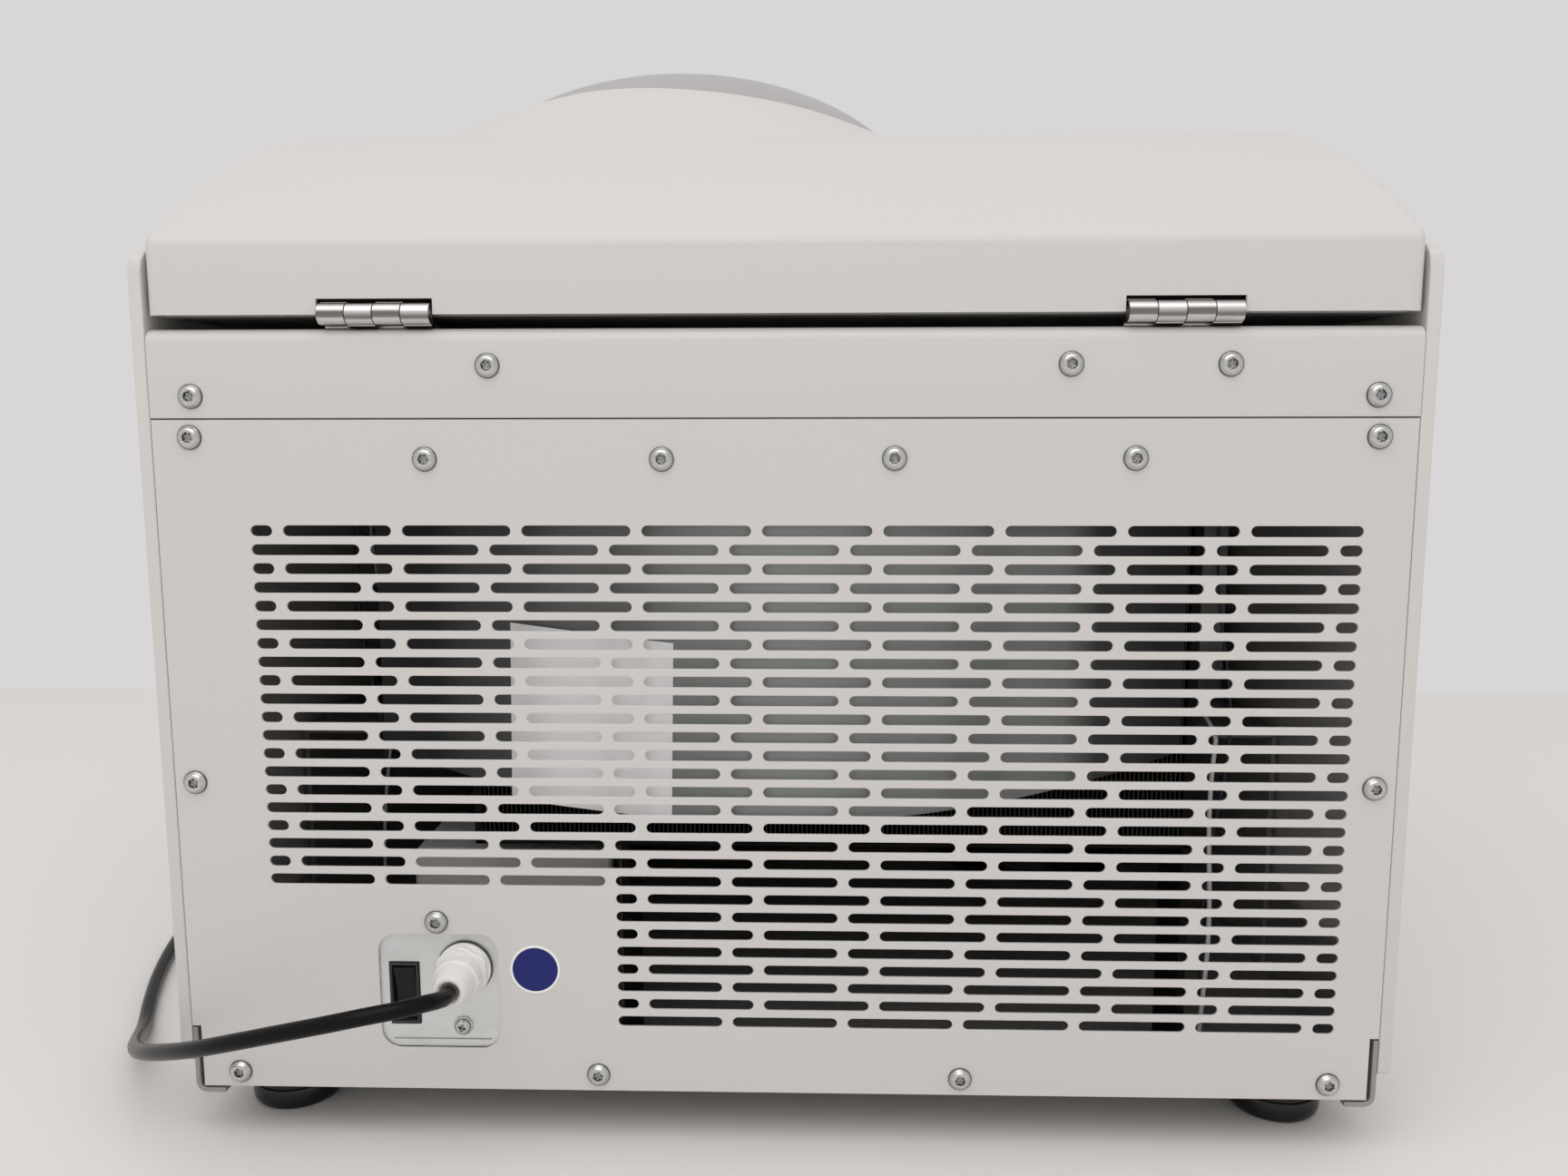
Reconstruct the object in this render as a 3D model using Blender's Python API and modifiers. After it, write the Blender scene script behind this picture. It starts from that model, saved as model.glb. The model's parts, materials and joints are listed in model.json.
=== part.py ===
"""Benchtop centrifuge, refrigerated type, modelled as separate pieces in metres with +Z up.

The front faces -Y and the slotted rear panel faces +Y. The origin lies on the table, under the
middle of the case.
"""

import math

import bmesh
import bpy
import numpy as np
from mathutils import Matrix, Vector

# Clearances
FIT = 0.0003            # gap between two pieces that touch
SEAM = 0.0006           # visible joint between two covers
CUT_OVER = 0.004        # how far a cutter runs past the wall it cuts
WELD = 0.000001         # points of one mesh closer than this are joined
FLAT = math.radians(0.1)    # neighbouring faces below this angle count as one
SHARP = math.radians(35)    # an edge above this angle is drawn sharp

# Case
CASE_WIDTH = 0.582
CASE_DEPTH = 0.640
CHEEK_WALL = 0.006
CHEEK_LIFT = 0.0157     # tray bottom up to the lower edge of a cheek
CHEEK_CORNER = 0.012
CHEEK_FOOT_CORNER = 0.003
CHEEK_DROP = 0.0035     # crease of the lid down to the top of a cheek

# Feet and base tray
FOOT_RADIUS = 0.0225
FOOT_HEIGHT = 0.0212
FOOT_NECK = 0.0190
FOOT_CHAMFER = 0.0025
FOOT_INSET_X = 0.039    # case side to the middle of a foot
FOOT_INSET_Y = 0.042
FOOT_STEPS = 20
TRAY_WALL = 0.0024
TRAY_RIM = 0.060
TRAY_CORNER = 0.005
TRAY_TAB = 0.0145       # width of the corner tabs that show below the panel
TRAY_STEP = 0.014       # panel's face to the tray's bottom between the tabs
TAB_GAP = 0.0010        # corner tab to the top of the panel's notch

# Rear panel and its slots
PANEL_WALL = 0.0015
PANEL_LIFT = 0.0035     # tray bottom up to the panel
PANEL_HEIGHT = 0.3225
PANEL_NOTCH_WIDTH = 0.0042
PANEL_NOTCH_HEIGHT = 0.0310
SLOT_WIDTH = 0.005
SLOT_LONG = 0.050
SLOT_SHORT = 0.010
SLOT_WEB = 0.005        # metal between two slots of a row
SLOT_ROW_PITCH = 0.00875
SLOT_TOP_DROP = 0.0505  # panel top down to the middle of the first row
SLOT_FOOT = 0.0330      # least metal below the middle of the last row
SLOT_EDGE = 0.0429      # panel's +X edge to the first slot
SLOT_FAR_EDGE = 0.0200  # least metal beyond the last slot
SLOT_RECESS_SIDE = 0.040    # least metal beside the mains recess
SLOT_RECESS_TOP = 0.022     # least metal above it

# Rear strip, deck and front
STRIP_HEIGHT = 0.040
STRIP_WALL = 0.002
STRIP_FLANGE = 0.028
STRIP_CORNER = 0.006
DECK_DROP = 0.003       # strip top down to the deck
DECK_WALL = 0.003
FRONT_WALL = 0.002
CONSOLE_WALL = 0.003
CONSOLE_BOTTOM = 0.270
CONSOLE_SETBACK = 0.0035

# Lid
LID_GAP = 0.006
LID_BAND = 0.034
LID_RISE = 0.096
LID_APEX = 0.310        # rear edge to the highest line of the lid
LID_LENGTH = 0.555
LID_WALL = 0.002
LID_SIDE_GAP = 0.0015
LID_CELLS_X = 18
LID_CELLS_Y = 16
SWELL_SIDE = 0.005      # spindle to the middle of the swelling
SWELL_BACK = 0.301      # rear edge to the middle of the swelling
SWELL_HALF_X = 0.155
SWELL_HALF_Y = 0.164
SWELL_RISE = 0.0392
SWELL_POWER = 1.19
DOME_SIDE = 0.0025      # dome's middle to the spindle
DOME_BACK = 0.348
DOME_RADIUS = 0.166
DOME_HALF_HEIGHT = 0.097
DOME_TOP = 0.150        # crease up to the top of the dome
DOME_SKIRT = 0.008
DOME_WALL = 0.003
DOME_RINGS = 7
DOME_STEPS = 30
GRIP_LENGTH = 0.180
GRIP_DEPTH = 0.014
GRIP_HEIGHT = 0.012
GRIP_LIFT = 0.008
GRIP_CORNER = 0.004
LINER_WALL = 0.0025
LINER_BACK = 0.011
SEAL_WIDTH = 0.007

# Hinges
HINGE_SIDE = 0.1047     # deck's edge to the middle of a hinge
HINGE_WIDTH = 0.0505
HINGE_RADIUS = 0.0049
HINGE_PIN_RADIUS = 0.0022
HINGE_PIN_PLAY = 0.0001
HINGE_INSET = 0.0015    # rear face to the pin's axis
HINGE_RISE = 0.0003     # lid's lower edge up to the pin's axis
HINGE_KNUCKLES = 4
HINGE_LEAF = 0.002
HINGE_LEAF_REACH = 0.026
HINGE_NOTCH_SIDE = 0.001
HINGE_NOTCH_TOP = 0.007

# Chamber, beside the +X cheek
GUARD_OUTER = 0.2043
CHAMBER_BACK = 0.342    # rear face to the spindle
CHAMBER_SIDE = 0.0054   # guard ring to the nearest cheek
GUARD_WALL = 0.005
FOAM_WALL = 0.022
FOAM_FLOOR = 0.022
BOWL_WALL = 0.0012
BOWL_FLANGE = 0.012
BOWL_EYE = 0.033
CHAMBER_STEPS = 32

# Bridge, motor and shaft
BRIDGE_RISE = 0.145
BRIDGE_WALL = 0.003
BRIDGE_BACK = 0.140
BRIDGE_FRONT = 0.105
BRIDGE_EYE = 0.050
MOTOR_RADIUS = 0.062
MOTOR_FLANGE = 0.086
MOTOR_FLANGE_WALL = 0.006
MOTOR_GROUND = 0.014
MOTOR_NECK = 0.027
MOTOR_NECK_RISE = 0.006
MOTOR_EDGE = 0.004
BUFFER_COUNT = 3
BUFFER_RADIUS = 0.011
BUFFER_HEIGHT = 0.010
BUFFER_CIRCLE = 0.070
SHAFT_RADIUS = 0.009
SHAFT_PLAY = 0.0005
SHAFT_DEPTH = 0.022     # how far the shaft reaches into the motor's neck

# Rotor and buckets
BUCKETS = 4
BUCKET_RADIUS = 0.028
BUCKET_WALL = 0.0025
BUCKET_FLOOR = 0.003
BUCKET_DROP = 0.075     # pivot down to the bucket's base
BUCKET_RIM = 0.018      # pivot up to the bucket's rim
BUCKET_GROUND = 0.028
BUCKET_SWEEP_GAP = 0.012
BUCKET_EAR_HALF = 0.009
BUCKET_EAR_RISE = 0.010
BUCKET_EAR_DROP = 0.012
BUCKET_EAR_WALL = 0.0055
BUCKET_SIDE_GAP = 0.0008
BUCKET_STEPS = 20
TRUNNION_RADIUS = 0.004
TRUNNION_PLAY = 0.0003
TRUNNION_REACH = 0.0042
ROTOR_HALF = 0.012
ROTOR_ARM = 0.022       # pivot circle out to the end of an arm
ROTOR_CORNER = 0.012
ROTOR_TAPER = 0.0002    # how much a bucket's slot widens outwards on each side
HUB_RADIUS = 0.026
HUB_DROP = 0.020
HUB_RISE = 0.022
NUT_RADIUS = 0.017
NUT_HEIGHT = 0.018
NUT_EDGE = 0.003

# Cooling
CONDENSER_SIDE = 0.0847     # -X edge of the deck to the condenser
CONDENSER_WIDTH = 0.350
CONDENSER_BOTTOM = 0.140
CONDENSER_TOP = 0.302
CONDENSER_BACK = 0.025
CONDENSER_DEPTH = 0.040
CONDENSER_LEG = 0.004
CONDENSER_LEG_IN = 0.076    # condenser's +X end to its inner leg
FAN_IN = 0.102          # condenser's -X end to the fan's axis
FAN_RADIUS = 0.066
FAN_TIP_GAP = 0.003
SHROUD_WALL = 0.002
SHROUD_DEPTH = 0.032
SHROUD_MARGIN = 0.008
FAN_HUB = 0.020
FAN_HUB_DEPTH = 0.018
FAN_BLADES = 5
FAN_BLADE_WALL = 0.0025
FAN_BLADE_WIDTH = 0.026
FAN_BLADE_PITCH = math.radians(32)
FAN_SPOKES = 3
FAN_SPOKE_WIDTH = 0.008
FAN_MOTOR_DEPTH = 0.022
FAN_STEPS = 28
COMPRESSOR_SIDE = 0.1087    # -X edge of the deck to the compressor's axis
COMPRESSOR_Y = -0.035
COMPRESSOR_RADIUS = 0.060
COMPRESSOR_TOP_GAP = 0.016
COMPRESSOR_BASE = 0.072
COMPRESSOR_BASE_WALL = 0.004
COMPRESSOR_SHOULDER = 0.022

# Electrics
FILTER_GAP = 0.012      # condenser's inner leg to the filter
FILTER_WIDTH = 0.102
FILTER_TOP = 0.130
FILTER_BACK = 0.045
FILTER_DEPTH = 0.050
FILTER_EDGE = 0.002
DRIVE_SIDE = 0.0077     # -X edge of the deck to the heat sink
DRIVE_WIDTH = 0.036
DRIVE_Y0 = -0.125
DRIVE_Y1 = 0.095
DRIVE_TOP_GAP = 0.0277  # heat sink's top to the deck
DRIVE_FINS = 9
DRIVE_FIN_DEPTH = 0.020
RECESS_X = 0.16305
RECESS_Z = 0.07475
RECESS_WIDTH = 0.0575
RECESS_HEIGHT = 0.0575
RECESS_CORNER = 0.009
RECESS_LAP = 0.006
PLATE_WALL = 0.0012
SWITCH_X = 0.18015
SWITCH_Z = 0.0733
SWITCH_WIDTH = 0.0141
SWITCH_HEIGHT = 0.0308
SWITCH_DEPTH = 0.026
SWITCH_WALL = 0.0014
SWITCH_PROUD = 0.0012
ROCKER_GAP = 0.0004
ROCKER_HALF_DEPTH = 0.0026
ROCKER_SINK = 0.0012
ROCKER_TILT = math.radians(6)
GLAND_X = 0.1505
GLAND_Z = 0.0865
GLAND_HEX = 0.0138      # middle to a corner of the hexagon
GLAND_HEX_DEPTH = 0.0075
GLAND_NOSE = 0.0105
GLAND_MOUTH = 0.0062
GLAND_REACH = 0.0275    # plate to the mouth
GLAND_SHOULDER = 0.0165
GLAND_STEPS = 20

# Console pieces, placed from the middle of the console's outer face
WINDOW_WIDTH = 0.120
WINDOW_HEIGHT = 0.046
WINDOW_WALL = 0.0040
WINDOW_SINK = 0.0006
WINDOW_U = -0.120
BUTTON_RADIUS = 0.0085
BUTTON_PROUD = 0.0030
BUTTON_STEM = 0.0045
BUTTON_TRAVEL = 0.0020
BUTTON_GAP = 0.00035
BUTTON_U = 0.060
BUTTON_PITCH = 0.042
KNOB_RADIUS = 0.0170
KNOB_HEIGHT = 0.0140
KNOB_TOP_RADIUS = 0.0150
KNOB_STEM_RADIUS = 0.0035
KNOB_U = 0.010
KNOB_LIFT = 0.0006

# Lid lock
LOCK_SIDE = 0.240       # spindle to the lock
LOCK_FRONT = 0.025      # lid's front edge to the catch bar
CATCH_DROP = 0.020      # deck's top down to the bar
CATCH_WIRE = 0.002
CATCH_WIDTH = 0.022
CATCH_BEND = 0.005
HOOK_WALL = 0.004
HOOK_PIVOT_BACK = 0.022
HOOK_PIVOT_DROP = 0.022
HOOK_PIVOT_RADIUS = 0.0025
HOOK_BORE_GAP = 0.0003
HOOK_ARM = 0.0045
HOOK_OVER = 0.0038
HOOK_NOSE = 0.0040
HOOK_RELEASE = math.radians(25)
LOCK_CHEEK = 0.002
LOCK_CHEEK_GAP = 0.0005
LOCK_CHEEK_DEPTH = 0.016
LOCK_SLOT_MARGIN = 0.0035

# Mains cord, in the route's own points
CORD_DIAMETER = 0.0078
CORD_STEP = 0.018
CORD_ROUTE = [
    (0.1505, 0.3466, 0.0865), (0.1505, 0.3546, 0.0865), (0.1538, 0.3655, 0.0874),
    (0.1625, 0.3745, 0.0895), (0.1760, 0.3796, 0.0905), (0.1960, 0.3800, 0.0876),
    (0.2190, 0.3768, 0.0815), (0.2429, 0.3700, 0.0736), (0.2620, 0.3600, 0.0655),
    (0.2816, 0.3455, 0.0562), (0.3010, 0.3280, 0.0462), (0.3200, 0.3060, 0.0350),
    (0.3370, 0.2800, 0.0236), (0.3520, 0.2520, 0.0124), (0.3655, 0.2210, 0.0052),
    (0.3800, 0.1880, 0.0041), (0.3930, 0.1540, 0.0041), (0.4040, 0.1180, 0.0041),
    (0.4125, 0.0800, 0.0041), (0.4185, 0.0420, 0.0041), (0.4210, 0.0060, 0.0041),
    (0.4215, -0.0300, 0.0041), (0.4215, -0.0600, 0.0041),
]
COIL_OUTER = 0.060
COIL_PITCH = 0.0095
COIL_TURNS = 2.75       # turns in one layer
COIL_CLIMB = 0.5        # turns in which the coil climbs to its second layer
COIL_LAYER = 0.0094
COIL_POINTS = 24        # points in one turn
COIL_TAIL = 0.026
COIL_TAIL_RISE = 0.0051
PLUG_RADIUS = 0.0180
PLUG_NECK = 0.0062
PLUG_SHOULDER = 0.0140
PLUG_BODY = 0.034
PLUG_LENGTH = 0.056
PLUG_PIN_RADIUS = 0.0024
PLUG_PIN_LENGTH = 0.019
PLUG_PIN_HALF = 0.0095
PLUG_STEPS = 20

# Places that follow from the sizes
REAR_Y = CASE_DEPTH / 2
HINGE_Y = REAR_Y - HINGE_INSET
FRONT_Y = -(HINGE_Y + HINGE_RADIUS)
INNER_HALF = CASE_WIDTH / 2 - CHEEK_WALL - FIT
TRAY_BOTTOM = FOOT_HEIGHT + FIT
FLOOR = TRAY_BOTTOM + TRAY_WALL
PANEL_BOTTOM = TRAY_BOTTOM + PANEL_LIFT
PANEL_TOP = PANEL_BOTTOM + PANEL_HEIGHT
STRIP_BOTTOM = PANEL_TOP + SEAM
STRIP_TOP = STRIP_BOTTOM + STRIP_HEIGHT
LID_BOTTOM = STRIP_TOP + LID_GAP
CREASE = LID_BOTTOM + LID_BAND
LID_HALF = CASE_WIDTH / 2 - CHEEK_WALL - LID_SIDE_GAP
LID_FRONT_Y = REAR_Y - LID_LENGTH
LID_ARC = (LID_APEX ** 2 + LID_RISE ** 2) / (2 * LID_RISE)
HINGE_Z = LID_BOTTOM + HINGE_RISE
DECK_TOP = STRIP_TOP - DECK_DROP
DECK_BOTTOM = DECK_TOP - DECK_WALL
CHAMBER_X = INNER_HALF - CHAMBER_SIDE - GUARD_OUTER
CHAMBER_Y = REAR_Y - CHAMBER_BACK
SWELL_X = CHAMBER_X + SWELL_SIDE
DOME_X = CHAMBER_X - DOME_SIDE
FOAM_OUTER = GUARD_OUTER - GUARD_WALL - FIT
BOWL_OUTER = FOAM_OUTER - FOAM_WALL - FIT
BOWL_RADIUS = BOWL_OUTER - BOWL_WALL
BRIDGE_TOP = FLOOR + BRIDGE_RISE
BRIDGE_BOTTOM = BRIDGE_TOP - BRIDGE_WALL
FOAM_BOTTOM = BRIDGE_TOP + FIT
BOWL_BASE = FOAM_BOTTOM + FOAM_FLOOR + FIT
BOWL_FLOOR = BOWL_BASE + BOWL_WALL
NECK_TOP = BOWL_FLOOR + MOTOR_NECK_RISE
BUFFER_BOTTOM = BRIDGE_BOTTOM - FIT - BUFFER_HEIGHT
PIVOT_Z = BOWL_FLOOR + BUCKET_GROUND + BUCKET_DROP
PIVOT_RADIUS = BOWL_RADIUS - BUCKET_SWEEP_GAP - BUCKET_DROP
CONSOLE_TOP_Y = LID_FRONT_Y - CONSOLE_SETBACK
CONSOLE_RUN = CONSOLE_TOP_Y - FRONT_Y
CONSOLE_RISE = DECK_TOP - CONSOLE_BOTTOM
CONSOLE_SLOPE = math.atan2(CONSOLE_RISE, CONSOLE_RUN)
CONSOLE_LENGTH = math.hypot(CONSOLE_RISE, CONSOLE_RUN)
PLATE_REAR_Y = REAR_Y - PANEL_WALL - FIT
CONDENSER_REAR_Y = REAR_Y - CONDENSER_BACK
CONDENSER_FRONT_Y = CONDENSER_REAR_Y - CONDENSER_DEPTH
FAN_Z = (CONDENSER_TOP + CONDENSER_BOTTOM) / 2
CONDENSER_X0 = -INNER_HALF + CONDENSER_SIDE
CONDENSER_X1 = CONDENSER_X0 + CONDENSER_WIDTH
CONDENSER_LEG_X = CONDENSER_X1 - CONDENSER_LEG_IN
FAN_X = CONDENSER_X0 + FAN_IN
FILTER_X0 = CONDENSER_LEG_X + FILTER_GAP
FILTER_X1 = FILTER_X0 + FILTER_WIDTH
COMPRESSOR_X = -INNER_HALF + COMPRESSOR_SIDE
DRIVE_X = -INNER_HALF + DRIVE_SIDE
DRIVE_HEIGHT = DECK_BOTTOM - DRIVE_TOP_GAP - BRIDGE_TOP - FIT
LOCK_X = CHAMBER_X - LOCK_SIDE
LOCK_BACK = LID_LENGTH - LOCK_FRONT
HINGE_SPACING = 2 * (INNER_HALF - HINGE_SIDE)
DOME_SKIRT_Z = DOME_TOP - DOME_HALF_HEIGHT - DOME_SKIRT
CONSOLE_Y = (CONSOLE_TOP_Y + FRONT_Y) / 2
CONSOLE_Z = (DECK_TOP + CONSOLE_BOTTOM) / 2
CONSOLE_TURN = Matrix.Rotation(CONSOLE_SLOPE, 4, "X")
CONSOLE = Matrix.Translation((0, CONSOLE_Y, CONSOLE_Z)) @ CONSOLE_TURN


def clear_scene():
    for old in list(bpy.data.objects):
        bpy.data.objects.remove(old, do_unlink=True)


def make_collection(name):
    collection = bpy.data.collections.new(name)
    bpy.context.scene.collection.children.link(collection)
    return collection


def material(name, colour, roughness, metallic=0.0):
    """One Principled material a finish, made once and shared."""
    found = bpy.data.materials.get(name)
    if found:
        return found
    made = bpy.data.materials.new(name)
    made.use_nodes = True
    shader = made.node_tree.nodes["Principled BSDF"]
    shader.inputs["Base Color"].default_value = (*colour, 1.0)
    shader.inputs["Roughness"].default_value = roughness
    shader.inputs["Metallic"].default_value = metallic
    made.diffuse_color = (*colour, 1.0)
    return made


def place(name, mesh, finish, origin=(0, 0, 0), turn=None):
    """An object of the mesh at its origin; a piece without a finish is a cutter or a guide."""
    obj = bpy.data.objects.new(name, mesh)
    obj.matrix_world = Matrix.Translation(origin) @ (turn or Matrix.Identity(4))
    if finish is None:
        CUTTERS.objects.link(obj)
        obj.hide_render = True
        obj.display_type = "WIRE"
        return obj
    PARTS.objects.link(obj)
    mesh.materials.append(finish)
    return obj


def mesh_from(work, name):
    mesh = bpy.data.meshes.new(name)
    work.to_mesh(mesh)
    work.free()
    return mesh


def smooth(mesh):
    """Shades a round shape smooth, apart from its real edges."""
    mesh.shade_smooth()
    mesh.set_sharp_from_angle(angle=SHARP)
    return mesh


def bevelled(obj, width, segments=2):
    edge = obj.modifiers.new("edges", "BEVEL")
    edge.width = width
    edge.segments = segments
    edge.limit_method = "ANGLE"
    return obj


def block(name, low, high, finish=None, origin=None, turn=None):
    """A box between two corners, given from its origin when it has one."""
    low, high = Vector(low), Vector(high)
    work = bmesh.new()
    bmesh.ops.create_cube(work, size=1.0)
    bmesh.ops.scale(work, vec=high - low, verts=work.verts)
    bmesh.ops.translate(work, vec=(low + high) / 2, verts=work.verts)
    return place(name, mesh_from(work, name), finish, origin or (0, 0, 0), turn)


def rod(name, start, end, radius, finish=None, sides=24):
    """A round bar between two points, with its origin halfway."""
    start, end = Vector(start), Vector(end)
    work = bmesh.new()
    bmesh.ops.create_cone(work, cap_ends=True, segments=sides, radius1=radius, radius2=radius,
                          depth=(end - start).length)
    turn = (end - start).to_track_quat("Z", "Y").to_matrix().to_4x4()
    return place(name, smooth(mesh_from(work, name)), finish, (start + end) / 2, turn)


def turned(name, profile, finish=None, origin=(0, 0, 0), turn=None, steps=24):
    """A lathe shape from (radius, height) points, which run down the outer side."""
    ring = profile[0][0] > 0
    mesh = bpy.data.meshes.new(name)
    count = len(profile)
    edges = [(i, i + 1) for i in range(count - 1)]
    if ring:
        edges.append((count - 1, 0))
    mesh.from_pydata([(r, 0.0, z) for r, z in profile], edges, [])
    obj = place(name, mesh, finish, origin, turn)
    screw = obj.modifiers.new("lathe", "SCREW")
    screw.steps = steps
    screw.render_steps = steps
    screw.use_merge_vertices = True
    screw.merge_threshold = WELD
    screw.use_smooth_shade = False
    return obj


def baked(obj, name, finish):
    """The evaluated shape of a curve as a welded mesh, which takes the curve's place."""
    bpy.context.view_layer.update()
    graph = bpy.context.evaluated_depsgraph_get()
    mesh = bpy.data.meshes.new_from_object(obj.evaluated_get(graph))
    work = bmesh.new()
    work.from_mesh(mesh)
    bmesh.ops.remove_doubles(work, verts=work.verts, dist=WELD)
    bmesh.ops.recalc_face_normals(work, faces=work.faces)
    work.to_mesh(mesh)
    work.free()
    mesh.materials.clear()
    matrix = obj.matrix_world.copy()
    bpy.data.objects.remove(obj, do_unlink=True)
    made = place(name, smooth(mesh), finish)
    made.matrix_world = matrix
    return made


def prism(name, loops, along, low, high, finish=None):
    """Flat closed loops, the first the outline and the rest holes, pulled along X, Y or Z."""
    curve = bpy.data.curves.new(name, "CURVE")
    curve.dimensions = "2D"
    curve.fill_mode = "BOTH"
    curve.extrude = (high - low) / 2
    for loop in loops:
        spline = curve.splines.new("POLY")
        spline.points.add(len(loop) - 1)
        flat = np.ones((len(loop), 4))
        flat[:, :2] = loop
        flat[:, 2] = 0.0
        spline.points.foreach_set("co", flat.ravel())
        spline.use_cyclic_u = True
    guide = bpy.data.objects.new(name + "_outline", curve)
    CUTTERS.objects.link(guide)
    middle = (low + high) / 2
    if along == "X":
        guide.matrix_world = Matrix(((0, 0, 1, middle), (1, 0, 0, 0), (0, 1, 0, 0), (0, 0, 0, 1)))
    elif along == "Y":
        guide.matrix_world = Matrix(((1, 0, 0, 0), (0, 0, -1, middle), (0, 1, 0, 0), (0, 0, 0, 1)))
    else:
        guide.matrix_world = Matrix.Translation((0, 0, middle))
    return baked(guide, name, finish)


def boolean(obj, other, operation):
    step = obj.modifiers.new(operation.lower(), "BOOLEAN")
    step.operation = operation
    step.object = other
    step.solver = "EXACT"
    return obj


def cut(obj, cutter):
    return boolean(obj, cutter, "DIFFERENCE")


def join(obj, other):
    return boolean(obj, other, "UNION")


def flat_faces_joined(obj):
    """Joins the triangles of each flat face, because slivers between them upset the booleans."""
    work = bmesh.new()
    work.from_mesh(obj.data)
    bmesh.ops.dissolve_limit(work, angle_limit=FLAT, verts=work.verts, edges=work.edges)
    work.to_mesh(obj.data)
    work.free()


def ring_points(centre, radius, count, start=0.0, sweep=2 * math.pi, closed=True):
    """Points on an arc; a closed arc leaves out its last point, which is its first."""
    share = np.arange(count) / (count if closed else count - 1)
    angle = start + sweep * share
    return [(centre[0] + radius * math.cos(a), centre[1] + radius * math.sin(a)) for a in angle]


def rectangle(centre, width, height):
    x, y = centre
    w, h = width / 2, height / 2
    return [(x - w, y - h), (x + w, y - h), (x + w, y + h), (x - w, y + h)]


def filleted(points, radii, count=5):
    """A polygon whose corners are rounded, each by its own radius."""
    out = []
    total = len(points)
    for i, (corner, radius) in enumerate(zip(points, radii)):
        if radius <= 0:
            out.append(corner)
            continue
        here = Vector(corner)
        back = (Vector(points[i - 1]) - here).normalized()
        ahead = (Vector(points[(i + 1) % total]) - here).normalized()
        half = back.angle(ahead) / 2
        centre = here + (back + ahead).normalized() * radius / math.sin(half)
        first = here + back * radius / math.tan(half) - centre
        last = here + ahead * radius / math.tan(half) - centre
        start = math.atan2(first.y, first.x)
        sweep = (math.atan2(last.y, last.x) - start + math.pi) % (2 * math.pi) - math.pi
        out += ring_points(centre, radius, count, start, sweep, closed=False)
    return out


def at_console(u, v, lift=0.0):
    """World place of a point on the console: u along X, v up the slope, lift outwards."""
    return CONSOLE @ Vector((u, v, lift))


def base_tray():
    """Folded tray; at its rear only two corner tabs come out to the panel's face."""
    half = INNER_HALF
    top = TRAY_BOTTOM + TRAY_RIM
    inner_corner = TRAY_CORNER - TRAY_WALL
    inside = half - TRAY_WALL
    outline = filleted(
        [(-half, top), (-half, TRAY_BOTTOM), (half, TRAY_BOTTOM), (half, top),
         (inside, top), (inside, FLOOR), (-inside, FLOOR), (-inside, top)],
        [0, TRAY_CORNER, TRAY_CORNER, 0, 0, inner_corner, inner_corner, 0], 4)
    tray = prism("base_tray", [outline], "Y", FRONT_Y + FRONT_WALL + FIT, REAR_Y, GREY_STEEL)
    behind = REAR_Y + CUT_OVER
    cut(tray, block("tray_step", (TRAY_TAB - half, REAR_Y - TRAY_STEP, TRAY_BOTTOM - CUT_OVER),
                    (half - TRAY_TAB, behind, FLOOR + CUT_OVER)))
    tab_top = PANEL_BOTTOM + PANEL_NOTCH_HEIGHT - TAB_GAP
    cut(tray, block("tray_wall_step", (-half - CUT_OVER, PLATE_REAR_Y, tab_top),
                    (half + CUT_OVER, behind, top + CUT_OVER)))


def feet():
    profile = [(0, FOOT_HEIGHT), (FOOT_NECK, FOOT_HEIGHT), (FOOT_RADIUS, FOOT_HEIGHT - FOOT_CHAMFER),
               (FOOT_RADIUS, FOOT_CHAMFER), (FOOT_RADIUS - FOOT_CHAMFER, 0), (0, 0)]
    x = CASE_WIDTH / 2 - FOOT_INSET_X
    y = REAR_Y - FOOT_INSET_Y
    corners = {"rear_right": (x, y), "rear_left": (-x, y),
               "front_right": (x, -y), "front_left": (-x, -y)}
    for corner, (fx, fy) in corners.items():
        turned("foot_" + corner, profile, BLACK_RUBBER, (fx, fy, 0), None, FOOT_STEPS)


def cheeks():
    """Both side covers, whose front edge carries on the slope of the console."""
    top = CREASE - CHEEK_DROP
    bottom = TRAY_BOTTOM + CHEEK_LIFT
    slope_y = CONSOLE_TOP_Y + (top - DECK_TOP) / math.tan(CONSOLE_SLOPE)
    outline = filleted(
        [(REAR_Y, bottom), (REAR_Y, top), (slope_y, top), (FRONT_Y, CONSOLE_BOTTOM),
         (FRONT_Y, bottom)],
        [CHEEK_FOOT_CORNER, CHEEK_CORNER, CHEEK_CORNER, CHEEK_CORNER, CHEEK_FOOT_CORNER], 4)
    for side, name in ((1, "right_cheek"), (-1, "left_cheek")):
        inner, outer = side * (CASE_WIDTH / 2 - CHEEK_WALL), side * CASE_WIDTH / 2
        prism(name, [outline], "X", min(inner, outer), max(inner, outer), WARM_WHITE)


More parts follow.
